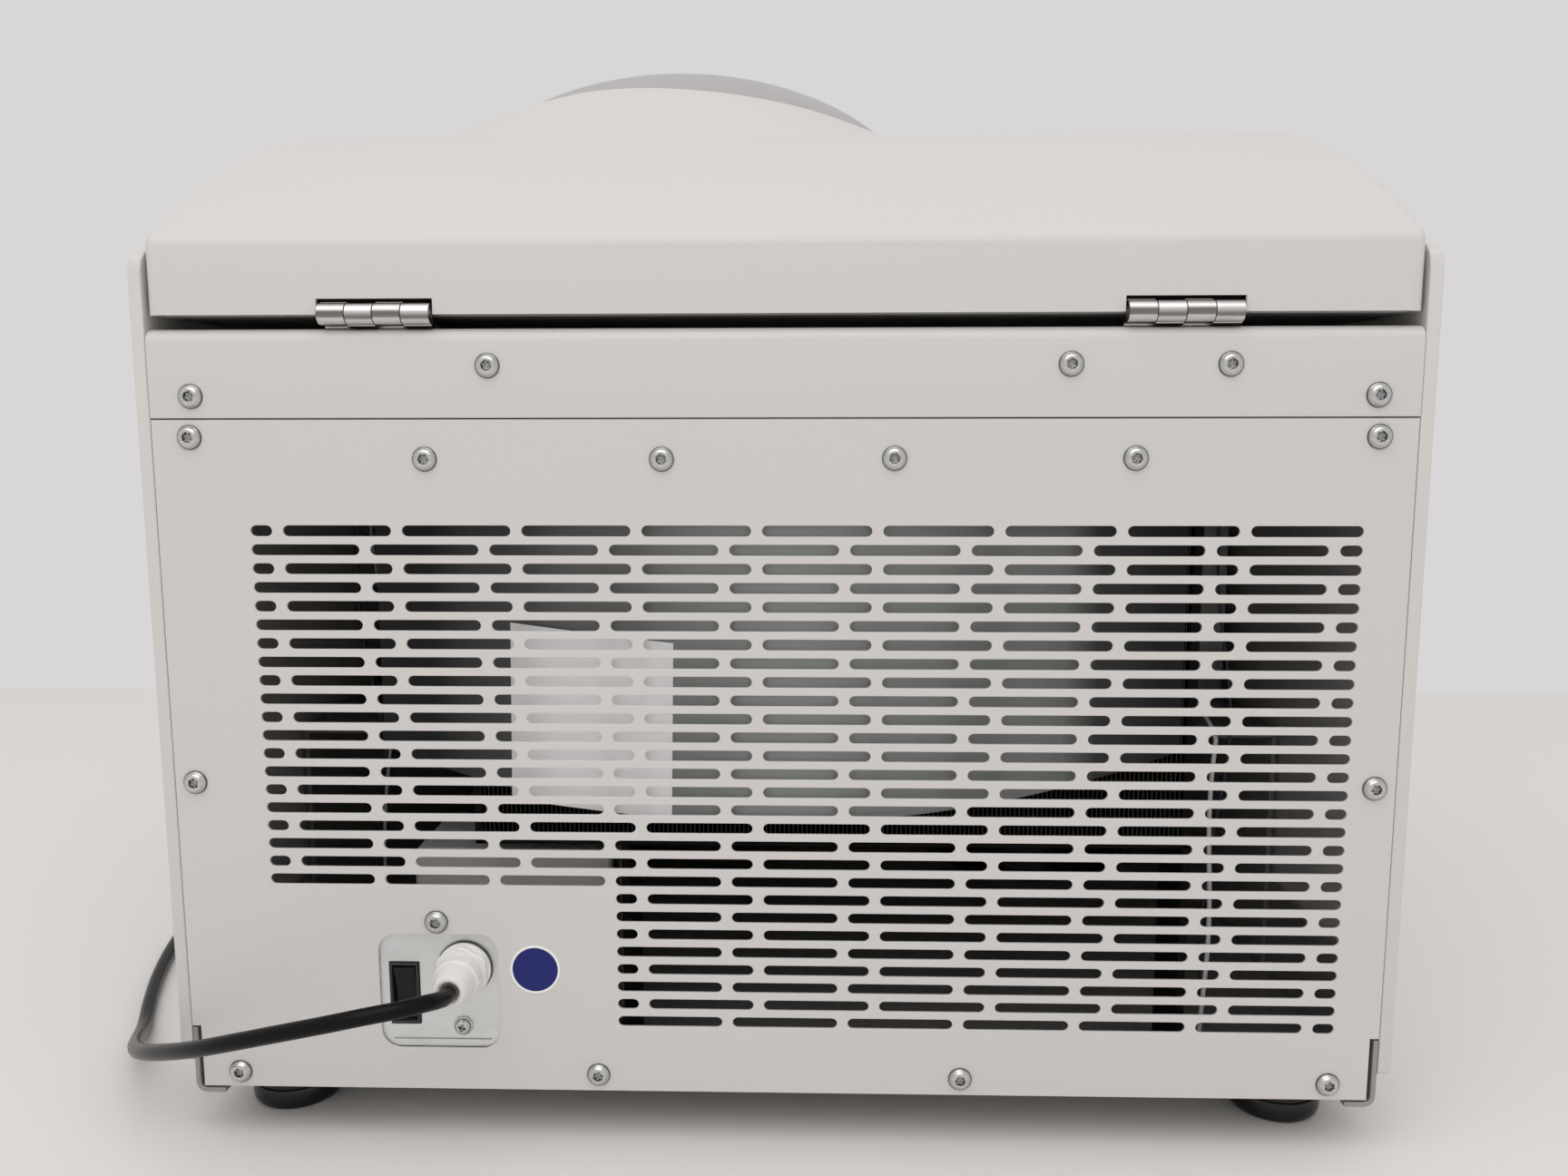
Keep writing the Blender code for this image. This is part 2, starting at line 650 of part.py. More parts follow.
def slot_rows():
    """Middle and length of each slot; odd rows are shifted so that webs lie over slots.

    As many slots as the panel has room for, fewer in the rows beside the mains recess.
    """
    pitch = SLOT_LONG + SLOT_WEB
    left = INNER_HALF - SLOT_EDGE
    top = PANEL_TOP - SLOT_TOP_DROP
    columns = int((left + INNER_HALF - SLOT_FAR_EDGE - SLOT_SHORT) / pitch)
    rows = int((top - PANEL_BOTTOM - SLOT_FOOT) / SLOT_ROW_PITCH) + 1
    recess_top = RECESS_Z + RECESS_HEIGHT / 2 + SLOT_RECESS_TOP
    recess_side = RECESS_X - RECESS_WIDTH / 2 - SLOT_RECESS_SIDE
    beside = math.ceil((left - recess_side) / pitch)
    slots = []
    for row in range(rows):
        z = top - row * SLOT_ROW_PITCH
        skipped = 0 if z > recess_top else beside
        if row % 2 == 0:
            slots.append((left - skipped * pitch - SLOT_SHORT / 2, z, SLOT_SHORT))
            first = left - SLOT_SHORT - SLOT_WEB - SLOT_LONG / 2
        else:
            first = left - SLOT_LONG / 2
            slots.append((left - columns * pitch - SLOT_SHORT / 2, z, SLOT_SHORT))
        slots += [(first - i * pitch, z, SLOT_LONG) for i in range(skipped, columns)]
    return slots


def rear_panel():
    half = INNER_HALF
    notch_x = half - PANEL_NOTCH_WIDTH
    notch_z = PANEL_BOTTOM + PANEL_NOTCH_HEIGHT
    outline = [(-half, PANEL_TOP), (-half, notch_z), (-notch_x, notch_z), (-notch_x, PANEL_BOTTOM),
               (notch_x, PANEL_BOTTOM), (notch_x, notch_z), (half, notch_z), (half, PANEL_TOP)]
    recess = filleted(rectangle((RECESS_X, RECESS_Z), RECESS_WIDTH, RECESS_HEIGHT), [RECESS_CORNER] * 4)
    slots = [rectangle((x, z), length, SLOT_WIDTH) for x, z, length in slot_rows()]
    prism("rear_panel", [outline, recess] + slots, "Y", REAR_Y - PANEL_WALL, REAR_Y, WARM_WHITE)


def rear_strip():
    inner = REAR_Y - STRIP_WALL
    outline = filleted(
        [(REAR_Y, STRIP_BOTTOM), (REAR_Y, STRIP_TOP), (REAR_Y - STRIP_FLANGE, STRIP_TOP),
         (REAR_Y - STRIP_FLANGE, STRIP_TOP - STRIP_WALL), (inner, STRIP_TOP - STRIP_WALL),
         (inner, STRIP_BOTTOM)],
        [0, STRIP_CORNER, 0, 0, STRIP_CORNER - STRIP_WALL, 0])
    prism("rear_strip", [outline], "X", -INNER_HALF, INNER_HALF, WARM_WHITE)


def deck_plate():
    """Top of the case, with the chamber's hole and the slot for the lid's catch."""
    front = CONSOLE_TOP_Y + CONSOLE_WALL * math.sin(CONSOLE_SLOPE) + FIT
    back = REAR_Y - STRIP_CORNER - FIT
    outline = [(-INNER_HALF, front), (INNER_HALF, front), (INNER_HALF, back), (-INNER_HALF, back)]
    hole = ring_points((CHAMBER_X, CHAMBER_Y), BOWL_OUTER + FIT, CHAMBER_STEPS)
    catch_y = REAR_Y - LOCK_BACK
    slot_width = CATCH_WIDTH + 2 * LOCK_SLOT_MARGIN
    slot = rectangle((LOCK_X, catch_y), slot_width, 2 * (CATCH_WIRE + LOCK_SLOT_MARGIN))
    prism("deck_plate", [outline, hole, slot], "Z", DECK_BOTTOM, DECK_TOP, WARM_WHITE)


def front_cover():
    top = CONSOLE_BOTTOM - CONSOLE_WALL * math.cos(CONSOLE_SLOPE) - FIT
    block("front_cover", (-INNER_HALF, FRONT_Y, PANEL_BOTTOM),
          (INNER_HALF, FRONT_Y + FRONT_WALL, top), WARM_WHITE)


def button_places():
    return {"start_button": BUTTON_U, "stop_button": BUTTON_U + BUTTON_PITCH,
            "lid_button": BUTTON_U + 2 * BUTTON_PITCH}


def console_panel():
    half = CONSOLE_LENGTH / 2
    panel = block("console_panel", (-INNER_HALF, -half, -CONSOLE_WALL), (INNER_HALF, half, 0),
                  SOFT_GREY, CONSOLE.translation, CONSOLE_TURN)
    low = -CONSOLE_WALL - CUT_OVER
    window = block("window_cutter", (WINDOW_U - WINDOW_WIDTH / 2, -WINDOW_HEIGHT / 2, low),
                   (WINDOW_U + WINDOW_WIDTH / 2, WINDOW_HEIGHT / 2, CUT_OVER), None,
                   CONSOLE.translation, CONSOLE_TURN)
    cut(panel, window)
    holes = [(u, BUTTON_RADIUS + BUTTON_GAP) for u in button_places().values()]
    holes.append((KNOB_U, KNOB_STEM_RADIUS + FIT))
    for index, (u, radius) in enumerate(holes):
        cut(panel, rod(f"console_hole_{index}", at_console(u, 0, low), at_console(u, 0, CUT_OVER),
                       radius))


def display_window():
    width, height = WINDOW_WIDTH / 2 - FIT, WINDOW_HEIGHT / 2 - FIT
    block("display_window", (WINDOW_U - width, -height, -WINDOW_SINK - WINDOW_WALL),
          (WINDOW_U + width, height, -WINDOW_SINK), DARK_WINDOW, CONSOLE.translation, CONSOLE_TURN)


def console_buttons():
    profile = [(0, BUTTON_PROUD), (BUTTON_RADIUS - KNOB_LIFT, BUTTON_PROUD),
               (BUTTON_RADIUS, BUTTON_PROUD - KNOB_LIFT), (BUTTON_RADIUS, -BUTTON_STEM), (0, -BUTTON_STEM)]
    finishes = {"start_button": GREEN_PLASTIC, "stop_button": RED_PLASTIC, "lid_button": PALE_PLASTIC}
    for name, u in button_places().items():
        turned(name, profile, finishes[name], at_console(u, 0), CONSOLE_TURN)


def setting_knob():
    profile = [(0, KNOB_HEIGHT), (KNOB_TOP_RADIUS, KNOB_HEIGHT), (KNOB_RADIUS, KNOB_LIFT),
               (KNOB_STEM_RADIUS, KNOB_LIFT), (KNOB_STEM_RADIUS, -BUTTON_STEM), (0, -BUTTON_STEM)]
    turned("setting_knob", profile, PALE_PLASTIC, at_console(KNOB_U, 0), CONSOLE_TURN)


def lid_arc(back):
    """Height of the lid's top above its crease, at a distance forward of the rear edge."""
    return LID_RISE - LID_ARC + math.sqrt(max(LID_ARC ** 2 - (back - LID_APEX) ** 2, 0))


def lid_swell(x, back):
    """Smooth round swelling that leads up to the dome."""
    far = ((x - SWELL_X) / SWELL_HALF_X) ** 2 + ((back - SWELL_BACK) / SWELL_HALF_Y) ** 2
    return SWELL_RISE * max(1 - far, 0) ** SWELL_POWER


def lid_shell():
    """A sheet over the lid's plan, its edge pulled down, then given its wall and its openings."""
    work = bmesh.new()
    bmesh.ops.create_grid(work, x_segments=LID_CELLS_X, y_segments=LID_CELLS_Y, size=0.5)
    for vert in work.verts:
        back = (0.5 - vert.co.y) * LID_LENGTH
        x = 2 * vert.co.x * LID_HALF
        vert.co = (x, REAR_Y - back, CREASE + lid_arc(back) + lid_swell(x, back))
    rim = [edge for edge in work.edges if edge.is_boundary]
    pulled = bmesh.ops.extrude_edge_only(work, edges=rim)
    for vert in pulled["geom"]:
        if isinstance(vert, bmesh.types.BMVert):
            vert.co.z = LID_BOTTOM
    bmesh.ops.recalc_face_normals(work, faces=work.faces)
    top = max(work.faces, key=lambda face: face.calc_center_median().z)
    if top.normal.z < 0:
        bmesh.ops.reverse_faces(work, faces=work.faces)
    lid = place("lid_shell", mesh_from(work, "lid_shell"), WARM_WHITE, (0, HINGE_Y, HINGE_Z))
    lid.data.transform(Matrix.Translation((0, -HINGE_Y, -HINGE_Z)))
    wall = lid.modifiers.new("wall", "SOLIDIFY")
    wall.thickness = LID_WALL
    wall.offset = -1
    wall.use_even_offset = True
    for side in (-1, 1):
        x = side * HINGE_SPACING / 2
        half = HINGE_WIDTH / 2 + HINGE_NOTCH_SIDE
        low = (x - half, REAR_Y - LID_WALL - CUT_OVER, LID_BOTTOM - CUT_OVER)
        high = (x + half, REAR_Y + CUT_OVER, LID_BOTTOM + HINGE_NOTCH_TOP)
        cut(lid, block(f"hinge_notch_{side}", low, high))
    grown = dome_profile(FIT, DOME_SKIRT_Z - CUT_OVER) + [(0, DOME_SKIRT_Z - CUT_OVER)]
    cut(lid, turned("dome_cutter", grown, None, (DOME_X, REAR_Y - DOME_BACK, CREASE), None,
                    DOME_STEPS))


def dome_profile(grow, foot):
    """The dome's outer line, grown outwards, from its top down to the foot of its skirt."""
    middle = DOME_TOP - DOME_HALF_HEIGHT
    line = [((DOME_RADIUS + grow) * math.sin(a), middle + (DOME_HALF_HEIGHT + grow) * math.cos(a))
            for a in np.linspace(0, math.pi / 2, DOME_RINGS)]
    return line + [(DOME_RADIUS + grow, foot)]


def lid_dome():
    """Grey cap over the chamber: half an ellipse turned about its middle, with a short skirt."""
    outer = dome_profile(0, DOME_SKIRT_Z)
    inner = dome_profile(-DOME_WALL, DOME_SKIRT_Z)
    dome = turned("lid_dome", outer + inner[::-1], DOME_GREY,
                  (DOME_X, REAR_Y - DOME_BACK, CREASE), None, DOME_STEPS)
    dome.modifiers["lathe"].use_smooth_shade = True


def lid_grip():
    """Bar along the lid's front edge, for lifting it by hand."""
    y = LID_FRONT_Y - FIT
    z = LID_BOTTOM + GRIP_LIFT
    outline = filleted(
        [(y, z), (y, z + GRIP_HEIGHT), (y - GRIP_DEPTH, z + GRIP_HEIGHT), (y - GRIP_DEPTH, z)],
        [0, 0, GRIP_CORNER, GRIP_CORNER], 4)
    prism("lid_grip", [outline], "X", -GRIP_LENGTH / 2, GRIP_LENGTH / 2, SOFT_GREY)


def lid_liner():
    half = LID_HALF - LID_WALL - FIT
    front = LID_FRONT_Y + LID_WALL + FIT
    block("lid_liner", (-half, front, LID_BOTTOM),
          (half, REAR_Y - LINER_BACK, LID_BOTTOM + LINER_WALL), SOFT_GREY)


def lid_seal():
    """Rubber ring under the liner, which closes on the bowl's flange."""
    inner = BOWL_OUTER + SEAL_WIDTH / 2
    outer = inner + SEAL_WIDTH
    top = LID_BOTTOM - FIT
    low = DECK_TOP + 2 * FIT + BOWL_WALL
    profile = [(inner, top), (outer, top), (outer, low), (inner, low)]
    turned("lid_seal", profile, BLACK_RUBBER, (CHAMBER_X, CHAMBER_Y, 0), None, CHAMBER_STEPS)


def hinge(side, label):
    """Two leaves with interleaved knuckles on one pin; the fixed one lies flat on the strip."""
    x0 = side * HINGE_SPACING / 2 - HINGE_WIDTH / 2
    length = HINGE_WIDTH / HINGE_KNUCKLES
    bore = HINGE_PIN_RADIUS + HINGE_PIN_PLAY
    clear = HINGE_RADIUS + 2 * FIT
    fixed_top = STRIP_TOP + FIT + HINGE_LEAF
    leaf_back = REAR_Y - LID_WALL - FIT
    fixed = block("fixed_leaf_" + label, (x0, HINGE_Y - HINGE_LEAF_REACH, STRIP_TOP + FIT),
                  (x0 + HINGE_WIDTH, HINGE_Y - clear, fixed_top), BRIGHT_STEEL)
    moving = block("lid_leaf_" + label, (x0, leaf_back - HINGE_LEAF, HINGE_Z + clear),
                   (x0 + HINGE_WIDTH, leaf_back, HINGE_Z + HINGE_LEAF_REACH), BRIGHT_STEEL)
    for i in range(HINGE_KNUCKLES):
        low = x0 + i * length + (FIT if i else 0)
        high = x0 + (i + 1) * length
        knuckle = rod(f"knuckle_{label}_{i}", (low, HINGE_Y, HINGE_Z), (high, HINGE_Y, HINGE_Z),
                      HINGE_RADIUS, None, 16)
        if i % 2:
            tab = block(f"tab_{label}_{i}", (low, leaf_back - HINGE_LEAF, HINGE_Z),
                        (high, leaf_back, HINGE_Z + clear + HINGE_LEAF))
            owner = moving
        else:
            tab = block(f"tab_{label}_{i}", (low, HINGE_Y - clear - HINGE_LEAF, STRIP_TOP + FIT),
                        (high, HINGE_Y, fixed_top))
            owner = fixed
        join(owner, knuckle)
        join(owner, tab)
    hole = rod("pin_bore_" + label, (x0 - CUT_OVER, HINGE_Y, HINGE_Z),
               (x0 + HINGE_WIDTH + CUT_OVER, HINGE_Y, HINGE_Z), bore, None, 12)
    cut(fixed, hole)
    cut(moving, hole)
    rod("hinge_pin_" + label, (x0, HINGE_Y, HINGE_Z), (x0 + HINGE_WIDTH, HINGE_Y, HINGE_Z),
        HINGE_PIN_RADIUS, BRIGHT_STEEL, 12)


def chamber():
    """Guard ring, foam and bowl, one inside the other on the bridge plate."""
    middle = (CHAMBER_X, CHAMBER_Y, 0)
    top = DECK_BOTTOM - FIT
    guard_in = GUARD_OUTER - GUARD_WALL
    turned("guard_ring", [(guard_in, top), (GUARD_OUTER, top), (GUARD_OUTER, FOAM_BOTTOM),
                          (guard_in, FOAM_BOTTOM)], GREY_STEEL, middle, None, CHAMBER_STEPS)
    foam_in = BOWL_OUTER + FIT
    foam_floor = FOAM_BOTTOM + FOAM_FLOOR
    eye = BOWL_EYE + FIT
    turned("chamber_foam", [(foam_in, top), (FOAM_OUTER, top), (FOAM_OUTER, FOAM_BOTTOM),
                            (eye, FOAM_BOTTOM), (eye, foam_floor), (foam_in, foam_floor)],
           FOAM, middle, None, CHAMBER_STEPS)
    flange_low, flange_top = DECK_TOP + FIT, DECK_TOP + FIT + BOWL_WALL
    turned("chamber_bowl", [(BOWL_RADIUS, flange_top), (BOWL_OUTER + BOWL_FLANGE, flange_top),
                            (BOWL_OUTER + BOWL_FLANGE, flange_low), (BOWL_OUTER, flange_low),
                            (BOWL_OUTER, BOWL_BASE), (BOWL_EYE, BOWL_BASE), (BOWL_EYE, BOWL_FLOOR),
                            (BOWL_RADIUS, BOWL_FLOOR)], BRIGHT_STEEL, middle, None, CHAMBER_STEPS)


def bridge_plate():
    """Folded steel plate across the tray, which carries the chamber and hangs the motor."""
    half = INNER_HALF - TRAY_WALL - FIT
    inside = half - BRIDGE_WALL
    low = FLOOR + TRAY_CORNER
    outline = [(-half, low), (-inside, low), (-inside, BRIDGE_BOTTOM), (inside, BRIDGE_BOTTOM),
               (inside, low), (half, low), (half, BRIDGE_TOP), (-half, BRIDGE_TOP)]
    bridge = prism("bridge_plate", [outline], "Y", -REAR_Y + BRIDGE_FRONT, REAR_Y - BRIDGE_BACK,
                   GREY_STEEL)
    cut(bridge, rod("bridge_eye", (CHAMBER_X, CHAMBER_Y, BRIDGE_BOTTOM - CUT_OVER),
                    (CHAMBER_X, CHAMBER_Y, BRIDGE_TOP + CUT_OVER), BRIDGE_EYE, None, 24))


def drive_motor():
    flange_top = BUFFER_BOTTOM - FIT
    flange_low = flange_top - MOTOR_FLANGE_WALL
    base = FLOOR + MOTOR_GROUND
    bore = SHAFT_RADIUS + SHAFT_PLAY
    bore_floor = NECK_TOP - SHAFT_DEPTH
    profile = [(0, bore_floor), (bore, bore_floor), (bore, NECK_TOP), (MOTOR_NECK, NECK_TOP),
               (MOTOR_NECK, flange_top), (MOTOR_FLANGE, flange_top), (MOTOR_FLANGE, flange_low),
               (MOTOR_RADIUS, flange_low), (MOTOR_RADIUS, base + MOTOR_EDGE),
               (MOTOR_RADIUS - MOTOR_EDGE, base), (0, base)]
    turned("drive_motor", profile, DARK_STEEL, (CHAMBER_X, CHAMBER_Y, 0), None, 24)
    for i, (x, y) in enumerate(ring_points((CHAMBER_X, CHAMBER_Y), BUFFER_CIRCLE, BUFFER_COUNT)):
        rod(f"motor_buffer_{i + 1}", (x, y, BUFFER_BOTTOM), (x, y, BUFFER_BOTTOM + BUFFER_HEIGHT),
            BUFFER_RADIUS, BLACK_RUBBER, 16)


def turned_about(x, y, angle):
    """A flat point turned about the origin."""
    return x * math.cos(angle) - y * math.sin(angle), x * math.sin(angle) + y * math.cos(angle)


def rotor():
    """Shaft, four-armed rotor with its trunnions, and the nut that clamps it."""
    middle = (CHAMBER_X, CHAMBER_Y, PIVOT_Z)
    hub_top = PIVOT_Z + HUB_RISE
    rod("drive_shaft", (CHAMBER_X, CHAMBER_Y, NECK_TOP - SHAFT_DEPTH + FIT),
        (CHAMBER_X, CHAMBER_Y, hub_top), SHAFT_RADIUS, BRIGHT_STEEL)
    slot_half = BUCKET_RADIUS + BUCKET_EAR_WALL + BUCKET_SIDE_GAP
    inner = PIVOT_RADIUS - BUCKET_RADIUS - BUCKET_EAR_DROP / 2
    outer = PIVOT_RADIUS + ROTOR_ARM
    outline, radii = [], []
    for i in range(BUCKETS):
        angle = 2 * math.pi * i / BUCKETS
        wide = slot_half + ROTOR_TAPER
        for x, y, radius in ((inner, slot_half, ROTOR_CORNER / 2), (outer, wide, 0)):
            outline.append(turned_about(x, y, angle))
            radii.append(radius)
        following = angle + 2 * math.pi / BUCKETS
        outline.append(turned_about(outer, outer, angle))
        radii.append(ROTOR_CORNER)
        for x, y, radius in ((outer, -wide, 0), (inner, -slot_half, ROTOR_CORNER / 2)):
            outline.append(turned_about(x, y, following))
            radii.append(radius)
    shifted = [(x + CHAMBER_X, y + CHAMBER_Y) for x, y in filleted(outline, radii, 4)]
    body = prism("rotor_body", [shifted], "Z", PIVOT_Z - ROTOR_HALF, PIVOT_Z + ROTOR_HALF, DARK_STEEL)
    flat_faces_joined(body)
    hub = rod("rotor_hub", (CHAMBER_X, CHAMBER_Y, PIVOT_Z - HUB_DROP),
              (CHAMBER_X, CHAMBER_Y, hub_top), HUB_RADIUS, None, 32)
    join(body, hub)
    for i in range(BUCKETS):
        angle = 2 * math.pi * i / BUCKETS
        out = Vector((math.cos(angle), math.sin(angle), 0))
        side = Vector((-math.sin(angle), math.cos(angle), 0))
        for way in (-1, 1):
            root = Vector(middle) + out * PIVOT_RADIUS + side * way * (slot_half + TRUNNION_REACH)
            tip = Vector(middle) + out * PIVOT_RADIUS + side * way * (slot_half - TRUNNION_REACH)
            join(body, rod(f"trunnion_{i}_{way}", root, tip, TRUNNION_RADIUS, None, 16))
    cut(body, rod("hub_bore", (CHAMBER_X, CHAMBER_Y, PIVOT_Z - HUB_DROP - CUT_OVER),
                  (CHAMBER_X, CHAMBER_Y, hub_top + CUT_OVER), SHAFT_RADIUS + FIT))
    nut = [(0, NUT_HEIGHT), (NUT_RADIUS - NUT_EDGE, NUT_HEIGHT), (NUT_RADIUS, NUT_HEIGHT - NUT_EDGE),
           (NUT_RADIUS, 0), (0, 0)]
    turned("rotor_nut", nut, BRIGHT_STEEL, (CHAMBER_X, CHAMBER_Y, hub_top + FIT), None, 20)


def bucket(index):
    """Cup with two ears, each grooved from below so that it hangs on a trunnion."""
    angle = 2 * math.pi * index / BUCKETS
    out = Vector((math.cos(angle), math.sin(angle), 0))
    pivot = Vector((CHAMBER_X, CHAMBER_Y, PIVOT_Z)) + out * PIVOT_RADIUS
    turn = Matrix.Rotation(angle, 4, "Z")
    inner = BUCKET_RADIUS - BUCKET_WALL
    profile = [(0, BUCKET_FLOOR - BUCKET_DROP), (inner, BUCKET_FLOOR - BUCKET_DROP), (inner, BUCKET_RIM),
               (BUCKET_RADIUS, BUCKET_RIM), (BUCKET_RADIUS, BUCKET_WALL - BUCKET_DROP),
               (inner, -BUCKET_DROP), (0, -BUCKET_DROP)]
    cup = turned(f"bucket_{index + 1}", profile, BUCKET_STEEL, pivot, turn, BUCKET_STEPS)
    bore = TRUNNION_RADIUS + TRUNNION_PLAY
    for way in (-1, 1):
        near, far = way * (BUCKET_RADIUS - BUCKET_WALL / 2), way * (BUCKET_RADIUS + BUCKET_EAR_WALL)
        ear = block(f"ear_{index}_{way}", (-BUCKET_EAR_HALF, min(near, far), -BUCKET_EAR_DROP),
                    (BUCKET_EAR_HALF, max(near, far), BUCKET_EAR_RISE), None, pivot, turn)
        join(cup, ear)
    for way in (-1, 1):
        near, far = way * (BUCKET_RADIUS + FIT), way * (BUCKET_RADIUS + BUCKET_EAR_WALL + CUT_OVER)
        groove = block(f"groove_{index}_{way}", (-bore, min(near, far), -BUCKET_EAR_DROP - CUT_OVER),
                       (bore, max(near, far), 0), None, pivot, turn)
        crown = rod(f"groove_top_{index}_{way}", pivot + turn @ Vector((0, near, 0)),
                    pivot + turn @ Vector((0, far, 0)), bore, None, 12)
        cut(cup, groove)
        cut(cup, crown)


def condenser():
    """Finned block on two legs, through which the fan draws air."""
    body = block("condenser", (CONDENSER_X0, CONDENSER_FRONT_Y, CONDENSER_BOTTOM),
                 (CONDENSER_X1, CONDENSER_REAR_Y, CONDENSER_TOP), FIN_GREY)
    for label, x in (("left", CONDENSER_X0), ("right", CONDENSER_LEG_X)):
        leg = block("condenser_leg_" + label, (x, CONDENSER_FRONT_Y, FLOOR + FIT),
                    (x + CONDENSER_LEG, CONDENSER_REAR_Y, CONDENSER_BOTTOM + CONDENSER_LEG))
        join(body, leg)


def fan():
    """Shroud plate with a short duct and a motor on spokes, and the bladed wheel inside it."""
    back = CONDENSER_FRONT_Y - FIT
    duct = FAN_RADIUS + FAN_TIP_GAP
    half = duct + SHROUD_MARGIN
    lathe = Matrix.Rotation(-math.pi / 2, 4, "X")
    ring = duct + SHROUD_WALL
    shroud = turned("fan_shroud", [(duct, 0), (half, 0), (half, -SHROUD_WALL), (ring, -SHROUD_WALL),
                                   (ring, -SHROUD_DEPTH), (duct, -SHROUD_DEPTH)],
                    BLACK_PLASTIC, (FAN_X, back, FAN_Z), lathe, FAN_STEPS)
    motor_y = back - SHROUD_DEPTH
    wheel_y = motor_y + FAN_SPOKE_WIDTH / 2
    motor = rod("fan_motor", (FAN_X, motor_y - FAN_MOTOR_DEPTH, FAN_Z), (FAN_X, wheel_y, FAN_Z),
                FAN_HUB, None, 20)
    join(shroud, motor)
    for i in range(FAN_SPOKES):
        angle = 2 * math.pi * i / FAN_SPOKES + math.pi / 2
        turn = Matrix.Rotation(angle, 4, "Y")
        join(shroud, block(f"fan_spoke_{i}", (FAN_HUB / 2, FIT, -FAN_SPOKE_WIDTH / 2),
                           (duct + SHROUD_WALL / 3, FAN_SPOKE_WIDTH / 2 - FIT, FAN_SPOKE_WIDTH / 2),
                           None, (FAN_X, motor_y, FAN_Z), turn))
    hub_y = wheel_y + FIT
    wheel = turned("fan_wheel", [(0, FAN_HUB_DEPTH), (FAN_HUB, FAN_HUB_DEPTH), (FAN_HUB, 0), (0, 0)],
                   BLACK_PLASTIC, (FAN_X, hub_y, FAN_Z), lathe, 20)
    for i in range(FAN_BLADES):
        turn = (Matrix.Rotation(2 * math.pi * i / FAN_BLADES, 4, "Y")
                @ Matrix.Rotation(FAN_BLADE_PITCH, 4, "X"))
        join(wheel, block(f"fan_blade_{i}", (FAN_HUB / 2, -FAN_BLADE_WALL / 2, -FAN_BLADE_WIDTH / 2),
                          (FAN_RADIUS, FAN_BLADE_WALL / 2, FAN_BLADE_WIDTH / 2), None,
                          (FAN_X, hub_y + FAN_HUB_DEPTH / 2, FAN_Z), turn))


def compressor():
    base = FLOOR + FIT
    top = BRIDGE_BOTTOM - COMPRESSOR_TOP_GAP
    shoulder = COMPRESSOR_SHOULDER
    dome = ring_points((COMPRESSOR_RADIUS - shoulder, top - shoulder), shoulder, 5,
                       math.pi / 2, -math.pi / 2, False)
    step = base + COMPRESSOR_BASE_WALL
    foot = [(COMPRESSOR_RADIUS, step), (COMPRESSOR_BASE, step), (COMPRESSOR_BASE, base), (0, base)]
    turned("compressor", [(0, top)] + dome + foot, BLACK_PAINT, (COMPRESSOR_X, COMPRESSOR_Y, 0))


def mains_filter():
    rear = REAR_Y - FILTER_BACK
    bevelled(block("mains_filter", (FILTER_X0, rear - FILTER_DEPTH, FLOOR + FIT),
                   (FILTER_X1, rear, FILTER_TOP), BRIGHT_STEEL), FILTER_EDGE, 1)


def drive_electronics():
    """Frequency converter: a heat sink with fins towards the side, on the bridge plate."""
    low = BRIDGE_TOP + FIT
    pitch = (DRIVE_Y1 - DRIVE_Y0) / DRIVE_FINS
    root = DRIVE_X + DRIVE_FIN_DEPTH
    outline = [(DRIVE_X + DRIVE_WIDTH, DRIVE_Y0), (DRIVE_X + DRIVE_WIDTH, DRIVE_Y1)]
    for i in range(DRIVE_FINS):
        edge = DRIVE_Y1 - i * pitch
        outline += [(DRIVE_X, edge), (DRIVE_X, edge - pitch / 2)]
        if i < DRIVE_FINS - 1:
            outline += [(root, edge - pitch / 2), (root, edge - pitch)]
    last = DRIVE_Y1 - (DRIVE_FINS - 1) * pitch - pitch / 2
    outline += [(root, last), (root, DRIVE_Y0)]
    prism("drive_electronics", [outline], "Z", low, low + DRIVE_HEIGHT, ALUMINIUM)


def mains_recess():
    """Galvanised plate behind the panel, with the breaker and the cable gland in it."""
    width, height = RECESS_WIDTH + 2 * RECESS_LAP, RECESS_HEIGHT + RECESS_LAP
    outline = rectangle((RECESS_X, RECESS_Z + RECESS_LAP / 2), width, height)
    opening = rectangle((SWITCH_X, SWITCH_Z), SWITCH_WIDTH + 2 * FIT, SWITCH_HEIGHT + 2 * FIT)
    front = PLATE_REAR_Y - PLATE_WALL
    prism("mains_plate", [outline, opening], "Y", front, PLATE_REAR_Y, GREY_STEEL)
    face = PLATE_REAR_Y + SWITCH_PROUD
    half_x, half_z = SWITCH_WIDTH / 2, SWITCH_HEIGHT / 2
    body = block("switch_housing", (SWITCH_X - half_x, face - SWITCH_DEPTH, SWITCH_Z - half_z),
                 (SWITCH_X + half_x, face, SWITCH_Z + half_z), BLACK_PLASTIC)
    in_x, in_z = half_x - SWITCH_WALL, half_z - SWITCH_WALL
    well = 4 * ROCKER_HALF_DEPTH
    cut(body, block("switch_well", (SWITCH_X - in_x, face - well, SWITCH_Z - in_z),
                    (SWITCH_X + in_x, face + CUT_OVER, SWITCH_Z + in_z)))
    rock_x, rock_z = in_x - ROCKER_GAP, in_z - ROCKER_GAP
    block("mains_rocker", (-rock_x, -ROCKER_HALF_DEPTH, -rock_z), (rock_x, ROCKER_HALF_DEPTH, rock_z),
          BLACK_PLASTIC, (SWITCH_X, face - ROCKER_SINK - ROCKER_HALF_DEPTH, SWITCH_Z),
          Matrix.Rotation(-ROCKER_TILT, 4, "X"))


